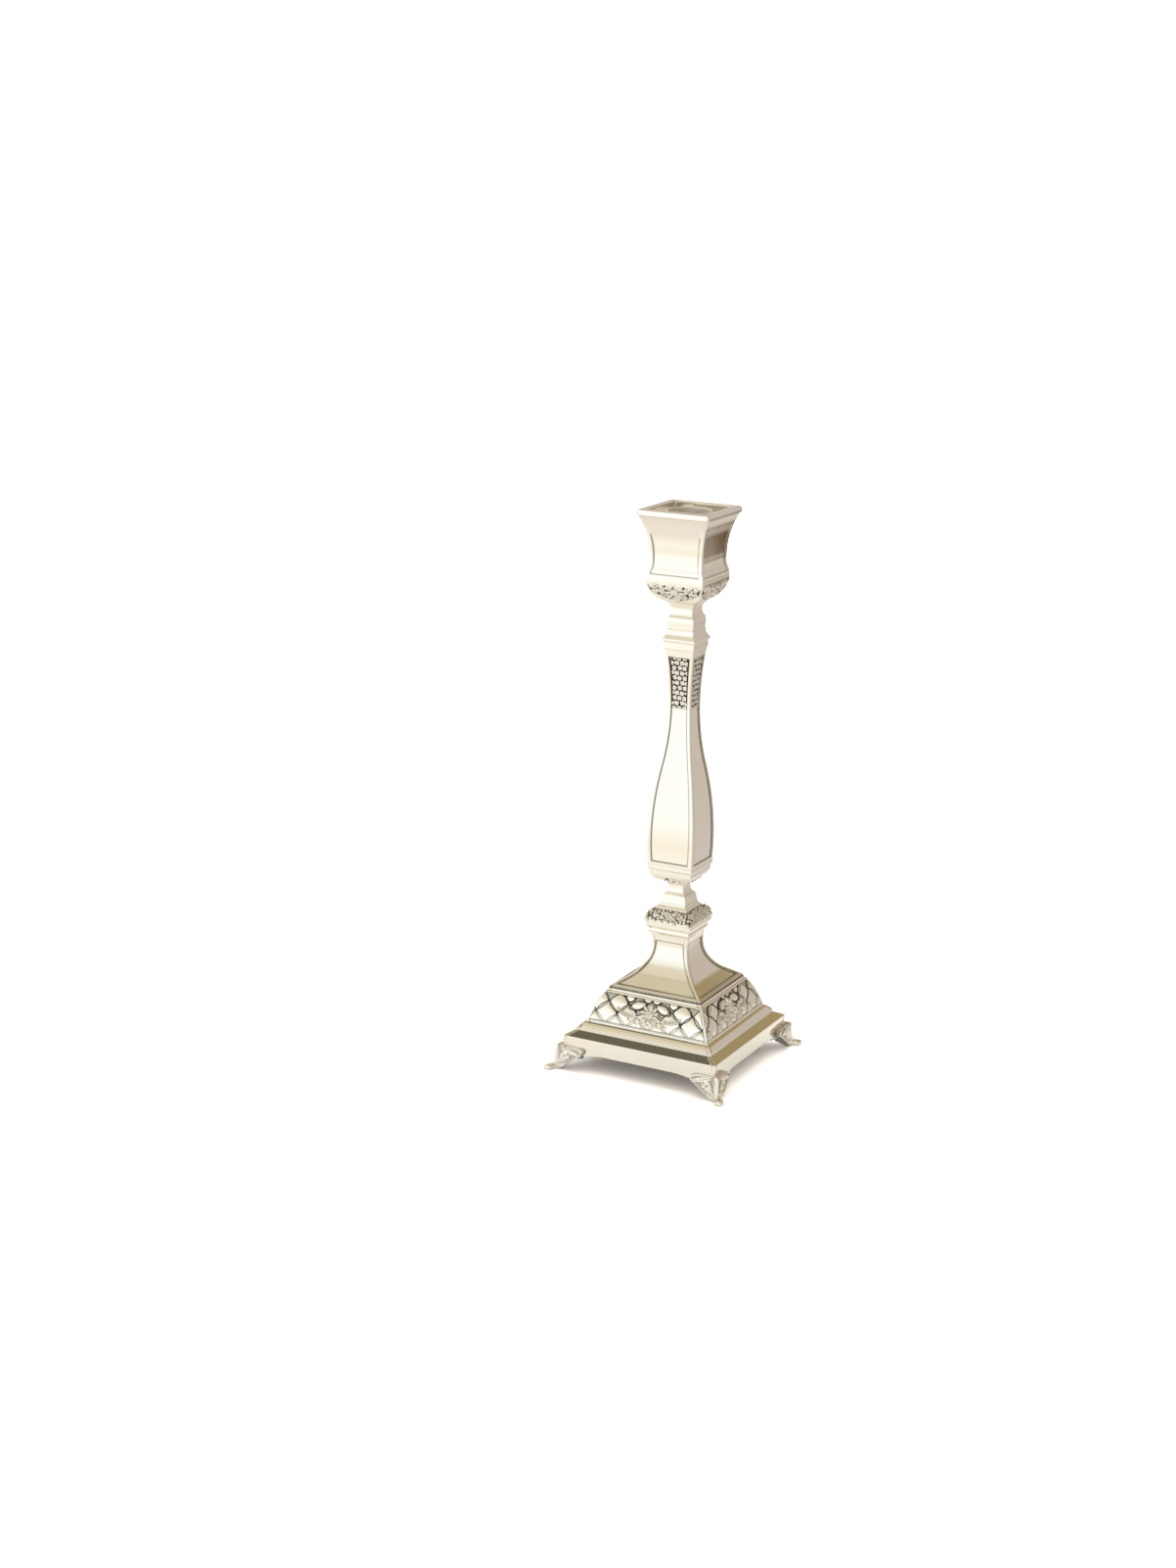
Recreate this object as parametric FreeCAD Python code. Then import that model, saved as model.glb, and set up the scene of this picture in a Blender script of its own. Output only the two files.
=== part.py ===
import FreeCAD, Part
import math
import os

# Square silver-plated candlestick on four cast corner feet, in millimetres.
# Hollow castings are stacked on one threaded tie rod, and a nozzle with its candle well lifts out.
# Origin: on the surface it stands on, at the middle of the foot. +Z is up, -Y is the front face.
#
# Every storey is square in plan, so its shape is one outline: a list, from the bottom up, of
# (half width, height, sagitta). The sagitta is that of the arc from the point before: positive
# swells outwards, negative is hollow, and a missing one is a straight line.

Vector = FreeCAD.Vector

# Driving dimensions
HEIGHT = 300.0            # overall, to the top of the rim
SKIRT_HALF = 45.0         # half the width of the base skirt
SKIRT_TOP = 18.3
SKIRT_FOOT = 8.9          # lower edge of the skirt beside the feet
SKIRT_ARCH = 1.1          # rise of that edge along the middle of a side
SHELL = 1.8               # wall of the base
CUP_WALL = 1.2
BALUSTER_WALL = 2.4
RIM_HALF = 20.5
RIM_THICK = 3.5
TRAY_HALF = 16.6          # inside the square wax tray
TRAY_DEPTH = 4.6
CANDLE_R = 11.1           # takes a standard 22 mm candle
WELL_WALL = 1.2
WELL_DEPTH = 22.0
WELL_LIP = 1.4            # how far the well's mouth lies below the rim
ROD_R = 2.5               # M5 tie rod
ROD_HOLE_R = 2.75
NUT_FLATS = 8.0
NUT_THICK = 4.0
WASHER_R = 5.0
WASHER_THICK = 1.0
FOOT_SCREW_R = 1.5        # M3
SCREW_HEAD_R = 2.75
SCREW_HEAD_HIGH = 2.0
SCREW_TIP = 17.0
PANEL_SINK = 0.55         # depth of the plain sunk panels

# Heights where one casting stands on the next
BASE_TOP = 72.0
KNOP_TOP = 89.0
SPOOL_TOP = 100.6
BALUSTER_TOP = 226.6
NECK_TOP = 249.0
CUP_TOP = HEIGHT - RIM_THICK - 0.1

BASE_CEILING = 62.0       # inside the base, where the lower nut bears
CUP_FLOOR = 256.0         # inside the cup, where the upper nut bears
ROD_ENDS = (50.0, 264.5)
FAR = 70.0                # reaches past the object from its axis
PLAY = 0.1                # between a let-in piece and its recess

BASE_OUTLINE = [
    (SKIRT_HALF, SKIRT_FOOT),
    (SKIRT_HALF, SKIRT_TOP),
    (39.9, 20.95),
    (39.7, 21.15),
    (39.7, 22.3),
    (36.2, 25.3, 0.35),
    (35.7, 25.3),
    (35.7, 25.8),
    (28.5, 42.0, 0.7),
    (27.8, 42.2),
    (27.6, 43.2, -0.1),
    (27.0, 43.4),
    (27.0, 44.3),
    (19.96, 48.9),
    (10.4, 66.5, -2.54),
    (10.4, 69.0),
    (10.9, BASE_TOP, -0.05),
]
BASE_HOLLOW = [
    (SKIRT_HALF - SHELL, 5.0),
    (SKIRT_HALF - SHELL, 17.2),
    (38.3, 20.2),
    (34.2, 24.2),
    (33.5, 25.4),
    (26.5, 40.6, 0.7),
    (26.0, 42.4),
    (19.0, 47.2),
    (9.05, BASE_CEILING, -1.71),
]
KNOP_OUTLINE = [
    (11.0, BASE_TOP),
    (11.3, 72.6),
    (12.0, 74.8, 0.45),
    (11.9, 75.4),
    (12.6, 75.8),
    (13.4, 78.4, 0.3),
    (13.4, 81.0, 0.1),
    (11.3, 84.8, 0.5),
    (8.7, 87.0, -0.2),
    (7.6, KNOP_TOP, -0.3),
]
SPOOL_OUTLINE = [
    (7.5, KNOP_TOP),
    (7.2, 90.8),
    (6.5, 93.6, 0.1),
    (4.9, 95.6, -0.3),
    (4.55, 97.4, -0.1),
    (4.6, 98.8),
    (5.8, SPOOL_TOP, -0.25),
]
BALUSTER_OUTLINE = [
    (5.8, SPOOL_TOP),
    (7.0, 101.4, -0.1),
    (12.5, 107.8, 1.7),
    (12.6, 108.4),
    (13.1, 108.8),
    (13.2, 110.6, 0.1),
    (12.9, 110.9),
    (13.1, 111.5),
    (13.45, 121.7, 0.05),
    (9.46, 164.5, 1.02),
    (6.4, 197.0, -0.74),
    (8.35, BALUSTER_TOP, -0.49),
]
BALUSTER_SIDE = BALUSTER_OUTLINE[7:]
NECK_OUTLINE = [
    (8.55, BALUSTER_TOP),
    (8.75, 227.2),
    (8.75, 230.6),
    (9.35, 231.0),
    (9.35, 232.6, 0.25),
    (8.9, 233.3),
    (7.75, 237.3, -0.45),
    (7.4, 237.6),
    (7.4, 238.4),
    (7.5, 243.3, 0.2),
    (7.2, 243.8),
    (6.15, 246.6, -0.2),
    (6.05, 248.2),
    (6.3, NECK_TOP),
]
CUP_OUTLINE = [
    (6.4, NECK_TOP),
    (9.0, 252.0, -0.3),
    (15.9, 260.8, 1.3),
    (16.3, 264.2, 0.2),
    (15.25, 270.0, 0.3),
    (14.95, 274.8, -0.12),
    (19.6, CUP_TOP, -1.25),
]
CUP_SIDE = CUP_OUTLINE[3:]
FOOT_OUTLINE = [
    (52.4, 0.0),
    (52.65, 1.1, 0.1),
    (51.6, 2.5, 0.3),
    (49.4, 3.2, -0.1),
    (48.4, 5.6, -0.15),
    (48.0, 8.5),
    (48.0, 12.6),
    (46.6, 13.8, 0.3),
]
FOOT_INSIDE = [
    (43.4, -1.0),
    (43.4, SKIRT_FOOT),
    (SKIRT_HALF, SKIRT_FOOT),
    (SKIRT_HALF, 15.0),
]
# Seen square on to a side: the edge of a foot's wing, from the toe round to its top
WING_EDGE = [
    (45.3, 0.0),
    (44.9, 0.4),
    (33.4, 9.1),
    (32.0, 9.7, 0.15),
    (31.8, 11.6, 0.3),
    (38.6, 12.4, -0.5),
    (45.0, 13.8, 0.6),
]


def outline_edges(outline):
    """The edges of an outline, in the XZ plane."""
    edges = []
    for before, after in zip(outline, outline[1:]):
        start = Vector(before[0], 0, before[1])
        end = Vector(after[0], 0, after[1])
        sagitta = after[2] if len(after) > 2 else 0
        if sagitta:
            run = end - start
            outwards = Vector(run.z, 0, -run.x).normalize()
            middle = (start + end) * 0.5 + outwards * sagitta
            edges.append(Part.Arc(start, middle, end).toShape())
        else:
            edges.append(Part.makeLine(start, end))
    return edges


def prism(outline):
    """The outline and its mirror image, closed, and run along Y right through the object."""
    right = outline_edges(outline)
    left = [edge.mirror(Vector(0, 0, 0), Vector(1, 0, 0)) for edge in right]
    (low_w, low_z), (high_w, high_z) = outline[0][:2], outline[-1][:2]
    floor = Part.makeLine(Vector(-low_w, 0, low_z), Vector(low_w, 0, low_z))
    roof = Part.makeLine(Vector(-high_w, 0, high_z), Vector(high_w, 0, high_z))
    wire = Part.Wire(Part.__sortEdges__([floor, roof] + right + left))
    solid = Part.Face(wire).extrude(Vector(0, 2 * FAR, 0))
    return moved(solid, 0, -FAR, 0)


def moved(shape, x, y, z):
    copy = shape.copy()
    copy.translate(Vector(x, y, z))
    return copy


def turned(shape, quarter_turns):
    copy = shape.copy()
    copy.rotate(Vector(0, 0, 0), Vector(0, 0, 1), 90 * quarter_turns)
    return copy


def on_every_side(shape):
    """The shape of the front side, with its copies on the other three."""
    return [turned(shape, side) for side in range(4)]


def shifted(outline, out):
    return [(point[0] + out,) + tuple(point[1:]) for point in outline]


def square_solid(outline):
    along = prism(outline)
    return along.common(turned(along, 1))


def box(x0, y0, z0, x1, y1, z1):
    return Part.makeBox(x1 - x0, y1 - y0, z1 - z0, Vector(x0, y0, z0))


def cylinder(radius, low, high, x=0.0, y=0.0):
    return Part.makeCylinder(radius, high - low, Vector(x, y, low))


def front_layer(side, border, sink, low, high):
    """The layer that a panel on the front takes: inside the border, outside the sunk ground."""
    inside_border = prism(shifted(side, -border))
    ground = turned(prism(shifted(side, -sink)), 1)
    front_half = box(-FAR, -FAR, low, FAR, 0, high)
    return inside_border.common(front_half).cut(ground)


def let_in(side, border, sink, low, high):
    """The layer that a piece let into such a panel takes, with play all round."""
    return front_layer(side, border + PLAY, sink, low + PLAY, high - PLAY)


def sunk(shape, side, border, sink, low, high):
    """The shape with one plain panel sunk in each side."""
    for layer in on_every_side(front_layer(side, border, sink, low, high)):
        shape = shape.cut(layer)
    return shape


def keyed(shape, bottom, top):
    """Bores a stacked casting for the rod. A square key on its top enters the next one."""
    key_half, key_rise = 3.6, 1.5
    if top is not None:
        shape = shape.fuse(box(-key_half, -key_half, top - 1, key_half, key_half, top + key_rise))
    if bottom is not None:
        pocket, ceiling = key_half + PLAY, bottom + key_rise + PLAY
        shape = shape.cut(box(-pocket, -pocket, bottom - 1, pocket, pocket, ceiling))
    return shape.cut(cylinder(ROD_HOLE_R, 0, HEIGHT)).removeSplitter()


# Base: a hollow shell, open below, with a post in each corner for a foot's screw

TRELLIS_SIDE = BASE_OUTLINE[7:9]
TRELLIS_BORDER = 1.3
TRELLIS_SINK = 1.1
TRELLIS_SPAN = (27.0, 41.2)
PYRAMID_SIDE = BASE_OUTLINE[12:]
PYRAMID_SPAN = (45.6, 68.2)
PYRAMID_BORDER = 2.3
PYRAMID_SINK = 0.8
ARCH_LOW = (31.0, SKIRT_FOOT)
ARCH_HIGH = (21.0, SKIRT_FOOT + SKIRT_ARCH, -0.3)
POST_INNER = 34.2         # the posts fill the corners beyond this, up to the sloping band
POST_TOP = 30.0
SCREW_AT = 38.6


def corner_box(inner, outer, low, high):
    """A square block in the corner at +X, -Y."""
    return box(inner, -outer, low, outer, -inner, high)


def base_shell():
    solid = square_solid(BASE_OUTLINE)
    hollow = square_solid(BASE_HOLLOW)
    post = corner_box(POST_INNER, SKIRT_HALF - SHELL / 2, SKIRT_FOOT, POST_TOP).common(solid)
    post = post.cut(cylinder(FOOT_SCREW_R, SKIRT_FOOT, SCREW_TIP + 0.5, SCREW_AT, -SCREW_AT))
    shell = solid.cut(hollow)
    for corner in on_every_side(post):
        shell = shell.fuse(corner)
    arch = prism([(ARCH_LOW[0], 0.0), ARCH_LOW, ARCH_HIGH])
    shell = shell.cut(arch).cut(turned(arch, 1))
    shell = sunk(shell, TRELLIS_SIDE, TRELLIS_BORDER, TRELLIS_SINK, *TRELLIS_SPAN)
    shell = sunk(shell, PYRAMID_SIDE, PYRAMID_BORDER, PYRAMID_SINK, *PYRAMID_SPAN)
    return keyed(shell, None, BASE_TOP)


def trellis_panel():
    """Pierced strapwork let into the front of the sloping band, round a solid centre."""
    low, high = TRELLIS_SPAN
    layer = let_in(TRELLIS_SIDE, TRELLIS_BORDER, TRELLIS_SINK, low, high)
    panel = layer.common(turned(prism(TRELLIS_SIDE), 1))
    pitch, middle, row_rise = 9.6, (low + high) / 2, 3.6
    large, small = (3.5, 2.9), (2.2, 1.8)
    for column in (-2, -1, 1, 2):
        panel = panel.cut(lozenge(column * pitch, middle, *large))
    for column in (-3, 3):
        panel = panel.cut(lozenge(column * pitch, low + row_rise, *large))
    for column in (-2.5, -1.5, -0.5, 0.5, 1.5, 2.5):
        panel = panel.cut(lozenge(column * pitch, middle - row_rise, *small))
    for column in (-1.5, -0.5, 0.5, 1.5):
        panel = panel.cut(lozenge(column * pitch, middle + row_rise, *small))
    return panel


def lozenge(x, z, half_wide, half_high):
    corners = [(x + half_wide, z), (x, z + half_high), (x - half_wide, z), (x, z - half_high)]
    wire = Part.makePolygon([Vector(cx, -FAR, cz) for cx, cz in corners + corners[:1]])
    return Part.Face(wire).extrude(Vector(0, FAR, 0))


# Feet: each hooks round a corner of the skirt and is screwed up into its post

FOOT_TAB = 2.2            # thickness of the lug that the screw holds
TOE_ROOT = 48.6           # half the stance over the wings, from which the toes run out
TOE_HALF = 2.9            # half a toe's width
LEG_INNER = 41.0


def foot():
    """The foot at +X, -Y."""
    hook = square_solid(FOOT_OUTLINE).cut(square_solid(FOOT_INSIDE))
    toe = square_solid(FOOT_OUTLINE[:7])
    reach = outline_edges(WING_EDGE)
    (toe_x, toe_z), (top_x, top_z) = WING_EDGE[0][:2], WING_EDGE[-1][:2]
    corners = [(top_x, top_z), (FAR, top_z), (FAR, toe_z), (toe_x, toe_z)]
    closing = Part.makePolygon([Vector(x, 0, z) for x, z in corners]).Edges
    wing = Part.Face(Part.Wire(reach + closing)).extrude(Vector(0, -FAR, 0))
    corner = wing.common(turned(mirrored(wing), 1))
    solid_leg = toe.common(corner_box(LEG_INNER, FAR, 0, SKIRT_FOOT))
    tab = corner_box(POST_INNER + 4 * PLAY, SKIRT_HALF + 1, SKIRT_FOOT - FOOT_TAB, SKIRT_FOOT)
    shape = hook.fuse(solid_leg).common(corner).common(toe_limits()).fuse(tab)
    shape = shape.cut(cylinder(FOOT_SCREW_R + PLAY, 0, SKIRT_FOOT, SCREW_AT, -SCREW_AT))
    return shape.removeSplitter()


def toe_limits():
    """The block over the wings, and the narrow way along the diagonal that a toe keeps to."""
    way = box(0, -TOE_HALF, 0, 2 * FAR, TOE_HALF, FAR)
    way.rotate(Vector(0, 0, 0), Vector(0, 0, 1), -45)
    return corner_box(0, TOE_ROOT, 0, FAR).fuse(way)


def mirrored(shape):
    return shape.mirror(Vector(0, 0, 0), Vector(1, 0, 0))


def foot_screw():
    """The slotted screw under the foot at +X, -Y."""
    high = SKIRT_FOOT - FOOT_TAB
    low = high - SCREW_HEAD_HIGH
    slot_half, slot_deep = 0.4, 0.9
    head = cylinder(SCREW_HEAD_R, low, high)
    head = head.cut(box(-FAR, -slot_half, low, FAR, slot_half, low + slot_deep))
    shank = cylinder(FOOT_SCREW_R, high - SCREW_HEAD_HIGH / 4, SCREW_TIP)
    return moved(head.fuse(shank), SCREW_AT, -SCREW_AT, 0)


# Stem: knop, spool, baluster with its pierced plaques, and the moulded neck

PLAQUE_BORDER = 2.0
PLAQUE_SINK = 0.9
PLAQUE_SPAN = (195.6, 222.6)
BALUSTER_PANEL = (113.0, 222.6)


def baluster():
    solid = square_solid(BALUSTER_OUTLINE)
    cavity = square_solid(shifted(BALUSTER_SIDE[1:3], -BALUSTER_WALL))
    shape = solid.cut(cavity)
    shape = sunk(shape, BALUSTER_SIDE, PLAQUE_BORDER, PANEL_SINK, *BALUSTER_PANEL)
    shape = sunk(shape, BALUSTER_SIDE, PLAQUE_BORDER, PLAQUE_SINK, *PLAQUE_SPAN)
    return keyed(shape, SPOOL_TOP, BALUSTER_TOP)


def stem_plaque():
    """A strip of four-petalled flowers, pierced between them, let into the front panel."""
    low, high = PLAQUE_SPAN
    layer = let_in(BALUSTER_SIDE, PLAQUE_BORDER, PLAQUE_SINK, low, high)
    below_border = 0.15
    strip = layer.common(turned(prism(shifted(BALUSTER_SIDE, -below_border)), 1))
    flowers, petal_reach, gap_half = 4, 2.6, 0.9
    pitch = (high - low) / flowers
    for flower in range(flowers):
        middle = low + (flower + 0.5) * pitch
        for across, up in ((-1, 0), (1, 0), (0, -1), (0, 1)):
            gap = lozenge(across * petal_reach, middle + up * petal_reach, gap_half, gap_half)
            strip = strip.cut(gap)
    return strip


# Cup, and the nozzle that lifts out of it

CUP_BORDER = 2.4
CUP_PANEL = (266.8, 290.9)


def cup_shell():
    """Hollow down to a floor for the upper nut, its lower corners rounded like the outside."""
    floor_half, corner_sagitta = 9.8, 0.8
    walls = shifted(CUP_OUTLINE[2:], -CUP_WALL)
    hollow = [(floor_half, CUP_FLOOR), walls[0][:2] + (corner_sagitta,)] + walls[1:]
    shape = square_solid(CUP_OUTLINE).cut(square_solid(hollow))
    shape = sunk(shape, CUP_SIDE, CUP_BORDER, PANEL_SINK, *CUP_PANEL)
    return keyed(shape, NECK_TOP, None)


def nozzle_rim():
    """The rounded rim with a square wax tray, which drops into the cup's mouth."""
    tray_wall, floor_thick, rounding = 0.6, 1.0, 1.1
    tray_floor = HEIGHT - TRAY_DEPTH
    plate = box(-RIM_HALF, -RIM_HALF, HEIGHT - RIM_THICK, RIM_HALF, RIM_HALF, HEIGHT)
    rounded = [e for e in plate.Edges if e.BoundBox.ZMax > HEIGHT - 1 or e.BoundBox.ZLength > 1]
    plate = plate.makeFillet(rounding, rounded)
    outer = TRAY_HALF + tray_wall
    tray = box(-outer, -outer, tray_floor - floor_thick, outer, outer, HEIGHT - 1)
    room = box(-TRAY_HALF, -TRAY_HALF, tray_floor, TRAY_HALF, TRAY_HALF, HEIGHT + 1)
    hole = cylinder(CANDLE_R + WELL_WALL, tray_floor - 5, tray_floor + 5)
    return plate.fuse(tray).cut(room).cut(hole).removeSplitter()


def candle_well():
    mouth = HEIGHT - WELL_LIP
    floor = mouth - WELL_DEPTH
    tube = cylinder(CANDLE_R + WELL_WALL, floor - WELL_WALL, mouth)
    return tube.cut(cylinder(CANDLE_R, floor, mouth))


# Fasteners along the tie rod

def tie_rod():
    low, high = ROD_ENDS
    rod = cylinder(ROD_R, low, high)
    return rod.makeChamfer(0.5, [e for e in rod.Edges if e.Curve.TypeId == "Part::GeomCircle"])


def washer(low):
    high = low + WASHER_THICK
    return cylinder(WASHER_R, low, high).cut(cylinder(ROD_HOLE_R, low, high))


def nut(low):
    reach = NUT_FLATS / math.sqrt(3)
    angles = [math.radians(60 * corner) for corner in range(7)]
    corners = [Vector(reach * math.cos(a), reach * math.sin(a), low) for a in angles]
    blank = Part.Face(Part.makePolygon(corners)).extrude(Vector(0, 0, NUT_THICK))
    return blank.cut(cylinder(ROD_R, low, low + NUT_THICK))


def export(name, shape):
    shape.exportStep(os.path.join("parts", name + ".step"))
    solids = len(shape.Solids)
    print(f"{name:22s} solids {solids}  volume {shape.Volume / 1000:8.2f} cm3  valid {shape.isValid()}")


SIDES = ("front", "right", "back", "left")
CORNERS = ("front_right", "back_right", "back_left", "front_left")

os.makedirs("parts", exist_ok=True)

export("base_shell", base_shell())
for corner, shape in zip(CORNERS, on_every_side(foot())):
    export("foot_" + corner, shape)
export("foot_screws", Part.makeCompound(on_every_side(foot_screw())))
for side, shape in zip(SIDES, on_every_side(trellis_panel())):
    export("trellis_" + side, shape)
export("knop", keyed(square_solid(KNOP_OUTLINE), BASE_TOP, KNOP_TOP))
export("waist_spool", keyed(square_solid(SPOOL_OUTLINE), KNOP_TOP, SPOOL_TOP))
export("baluster", baluster())
for side, shape in zip(SIDES, on_every_side(stem_plaque())):
    export("stem_plaque_" + side, shape)
export("neck", keyed(square_solid(NECK_OUTLINE), BALUSTER_TOP, NECK_TOP))
export("cup_shell", cup_shell())
export("nozzle_rim", nozzle_rim())
export("candle_well", candle_well())
export("tie_rod", tie_rod())
export("base_washer", washer(BASE_CEILING - WASHER_THICK))
export("base_nut", nut(BASE_CEILING - WASHER_THICK - NUT_THICK))
export("cup_washer", washer(CUP_FLOOR))
export("cup_nut", nut(CUP_FLOOR + WASHER_THICK))
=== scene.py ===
import math

import bpy
import numpy as np
from mathutils import Matrix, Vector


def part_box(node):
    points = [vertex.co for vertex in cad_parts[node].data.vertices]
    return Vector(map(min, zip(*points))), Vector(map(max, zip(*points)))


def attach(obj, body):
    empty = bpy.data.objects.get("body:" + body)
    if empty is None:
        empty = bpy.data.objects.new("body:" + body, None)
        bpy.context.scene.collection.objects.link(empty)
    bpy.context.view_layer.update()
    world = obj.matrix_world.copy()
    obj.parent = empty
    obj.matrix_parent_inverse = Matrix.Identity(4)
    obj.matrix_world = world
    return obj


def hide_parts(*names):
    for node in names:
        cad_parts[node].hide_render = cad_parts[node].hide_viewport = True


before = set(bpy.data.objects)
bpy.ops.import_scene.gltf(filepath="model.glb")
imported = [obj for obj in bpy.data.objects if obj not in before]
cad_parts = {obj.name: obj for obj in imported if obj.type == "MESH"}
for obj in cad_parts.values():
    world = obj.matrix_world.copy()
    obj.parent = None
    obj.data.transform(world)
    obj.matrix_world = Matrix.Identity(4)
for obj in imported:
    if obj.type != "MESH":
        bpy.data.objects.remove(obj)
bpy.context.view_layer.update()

# Looks of the square silver-plated candlestick. Shapes are worked out in millimetres, in the frame of
# the CAD model, and become metres when a mesh is made. Every storey is square in plan, and its
# outline is a list, from the bottom up, of (half width, height, sagitta), where the sagitta is that
# of the arc from the point before: positive swells outwards, negative is hollow.

MM = 0.001
SIDES = ("front", "right", "back", "left")
CORNERS = ("front_right", "back_right", "back_left", "front_left")


def low_z(node):
    return round(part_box(node)[0].z / MM, 2)


def high_z(node):
    return round(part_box(node)[1].z / MM, 2)


BORE = 2.9  # half the square bore that the visible castings keep for the rod
EDGE = 0.3  # rounding of the cast edges
HEIGHT = high_z("nozzle_rim")
RIM_HALF = round(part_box("nozzle_rim")[1].x / MM, 2)
KNOP_HIGH = 17.0
KNOP_TOP = low_z("waist_spool")
BASE_TOP = KNOP_TOP - KNOP_HIGH
SPOOL_TOP = 100.6
BALUSTER_TOP = 226.6
NECK_TOP = low_z("cup_shell")
CUP_TOP = high_z("cup_shell")
CUP_FLOOR = low_z("cup_washer")
SKIRT_HALF = 45.0
SKIRT_FOOT = low_z("base_shell")
ABOVE_ALL = 400.0  # the upper edge of a panel that runs out at its storey's top

BASE_OUTLINE = [
    (SKIRT_HALF, SKIRT_FOOT), (SKIRT_HALF, 18.3), (39.9, 20.95), (39.7, 21.15),
    (39.7, 22.3), (36.2, 25.3, 0.35), (35.7, 25.3), (35.7, 25.8), (28.5, 42.0, 0.7), (27.8, 42.2),
    (27.6, 43.2, -0.1), (27.0, 43.4), (27.0, 44.3), (19.96, 48.9), (10.4, 66.5, -2.54),
    (10.4, 69.0), (10.9, BASE_TOP, -0.05),
]
BASE_INSIDE = [
    (9.05, 62.0), (19.0, 47.2, 1.71), (26.0, 42.4), (26.5, 40.6), (33.5, 25.4, -0.7),
    (34.2, 24.2), (38.3, 20.2), (43.2, 17.2), (43.2, SKIRT_FOOT),
]
KNOP_OUTLINE = [
    (11.0, BASE_TOP), (11.3, 72.6), (12.0, 74.8, 0.45), (11.9, 75.4), (12.6, 75.8),
    (13.4, 78.4, 0.3), (13.4, 81.0, 0.1), (11.3, 84.8, 0.5), (8.7, 87.0, -0.2), (7.6, KNOP_TOP, -0.3),
]
SPOOL_OUTLINE = [
    (7.5, KNOP_TOP), (7.2, 90.8), (6.5, 93.6, 0.1), (4.9, 95.6, -0.3), (4.55, 97.4, -0.1),
    (4.6, 98.8), (5.8, SPOOL_TOP, -0.25),
]
BALUSTER_OUTLINE = [
    (5.8, SPOOL_TOP), (7.0, 101.4, -0.1), (12.5, 107.8, 1.7), (12.6, 108.4), (13.1, 108.8),
    (13.2, 110.6, 0.1), (12.9, 110.9), (13.1, 111.5), (13.45, 121.7, 0.05), (9.46, 164.5, 1.02),
    (6.4, 197.0, -0.74), (8.35, BALUSTER_TOP, -0.49),
]
NECK_OUTLINE = [
    (8.55, BALUSTER_TOP), (8.75, 227.2), (8.75, 230.6), (9.35, 231.0), (9.35, 232.6, 0.25),
    (8.9, 233.3), (7.75, 237.3, -0.45), (7.4, 237.6), (7.4, 238.4), (7.5, 243.3, 0.2),
    (7.2, 243.8), (6.15, 246.6, -0.2), (6.05, 248.2), (6.3, NECK_TOP),
]
CUP_OUTLINE = [
    (6.4, NECK_TOP), (9.0, 252.0, -0.3), (15.9, 260.8, 1.3), (16.3, 264.2, 0.2),
    (15.25, 270.0, 0.3), (14.95, 274.8, -0.12), (19.6, CUP_TOP, -1.25),
]
CUP_INSIDE = [
    (18.4, CUP_TOP), (13.75, 274.8, 1.25), (14.05, 270.0, 0.12), (15.1, 264.2, -0.3),
    (14.7, 260.8, -0.2), (9.8, CUP_FLOOR, -0.8),
]
FOOT_OUTLINE = [
    (52.4, 0.0), (52.65, 1.1, 0.1), (51.6, 2.5, 0.3), (49.4, 3.2, -0.1), (48.4, 5.6, -0.15),
    (48.0, 8.5), (48.0, 12.6), (46.6, 13.8, 0.3),
]
# Seen square on to a side: the edge of a foot's wing, from the toe round to its top
WING_EDGE = [
    (45.3, 0.0), (44.9, 0.4), (33.4, 9.1), (32.0, 9.7, 0.15), (31.8, 11.6, 0.3), (38.6, 12.4, -0.5),
    (45.0, 13.8, 0.6),
]


# ---- outlines

def expand(outline, step=0.5):
    """The outline as points, its arcs divided into runs no longer than the step."""
    points = [np.array(outline[0][:2], float)]
    for before, after in zip(outline, outline[1:]):
        start, end = np.array(before[:2], float), np.array(after[:2], float)
        sagitta = after[2] if len(after) > 2 else 0
        run = end - start
        chord = np.hypot(*run)
        if sagitta:
            half = 2 * math.atan(2 * abs(sagitta) / chord)
            radius = chord / (2 * math.sin(half))
            outwards = np.array([run[1], -run[0]]) / chord * math.copysign(1, sagitta)
            for angle in np.linspace(-half, half, max(4, math.ceil(chord / step)) + 1)[1:]:
                rise = radius * (math.cos(angle) - math.cos(half))
                along = run / chord * radius * math.sin(angle)
                points.append((start + end) / 2 + along + outwards * rise)
        else:
            points.append(end)
    return np.array(points)


def soften(points, reach=EDGE):
    """Rounds every corner of a line of points with a short curve."""
    out = [points[0]]
    for before, here, after in zip(points, points[1:], points[2:]):
        back, on = before - here, after - here
        back_length, on_length = np.hypot(*back), np.hypot(*on)
        turn = math.pi - math.acos(np.clip(back @ on / (back_length * on_length), -1, 1))
        if turn < math.radians(9):
            out.append(here)
            continue
        cut = min(reach, 0.42 * back_length, 0.42 * on_length)
        first, last = here + back / back_length * cut, here + on / on_length * cut
        for t in (0, 0.25, 0.5, 0.75, 1):
            out.append((1 - t) ** 2 * first + 2 * t * (1 - t) * here + t * t * last)
    out.append(points[-1])
    return np.array(out)


def divide(points, low, high, fine):
    """Divides the runs: finely between two heights, coarsely elsewhere."""
    coarse = 2.5
    out = [points[0]]
    for start, end in zip(points, points[1:]):
        inside = low < (start[1] + end[1]) / 2 < high
        count = max(1, math.ceil(np.hypot(*(end - start)) / (fine if inside else coarse)))
        out += [start + (end - start) * i / count for i in range(1, count + 1)]
    return np.array(out)


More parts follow.
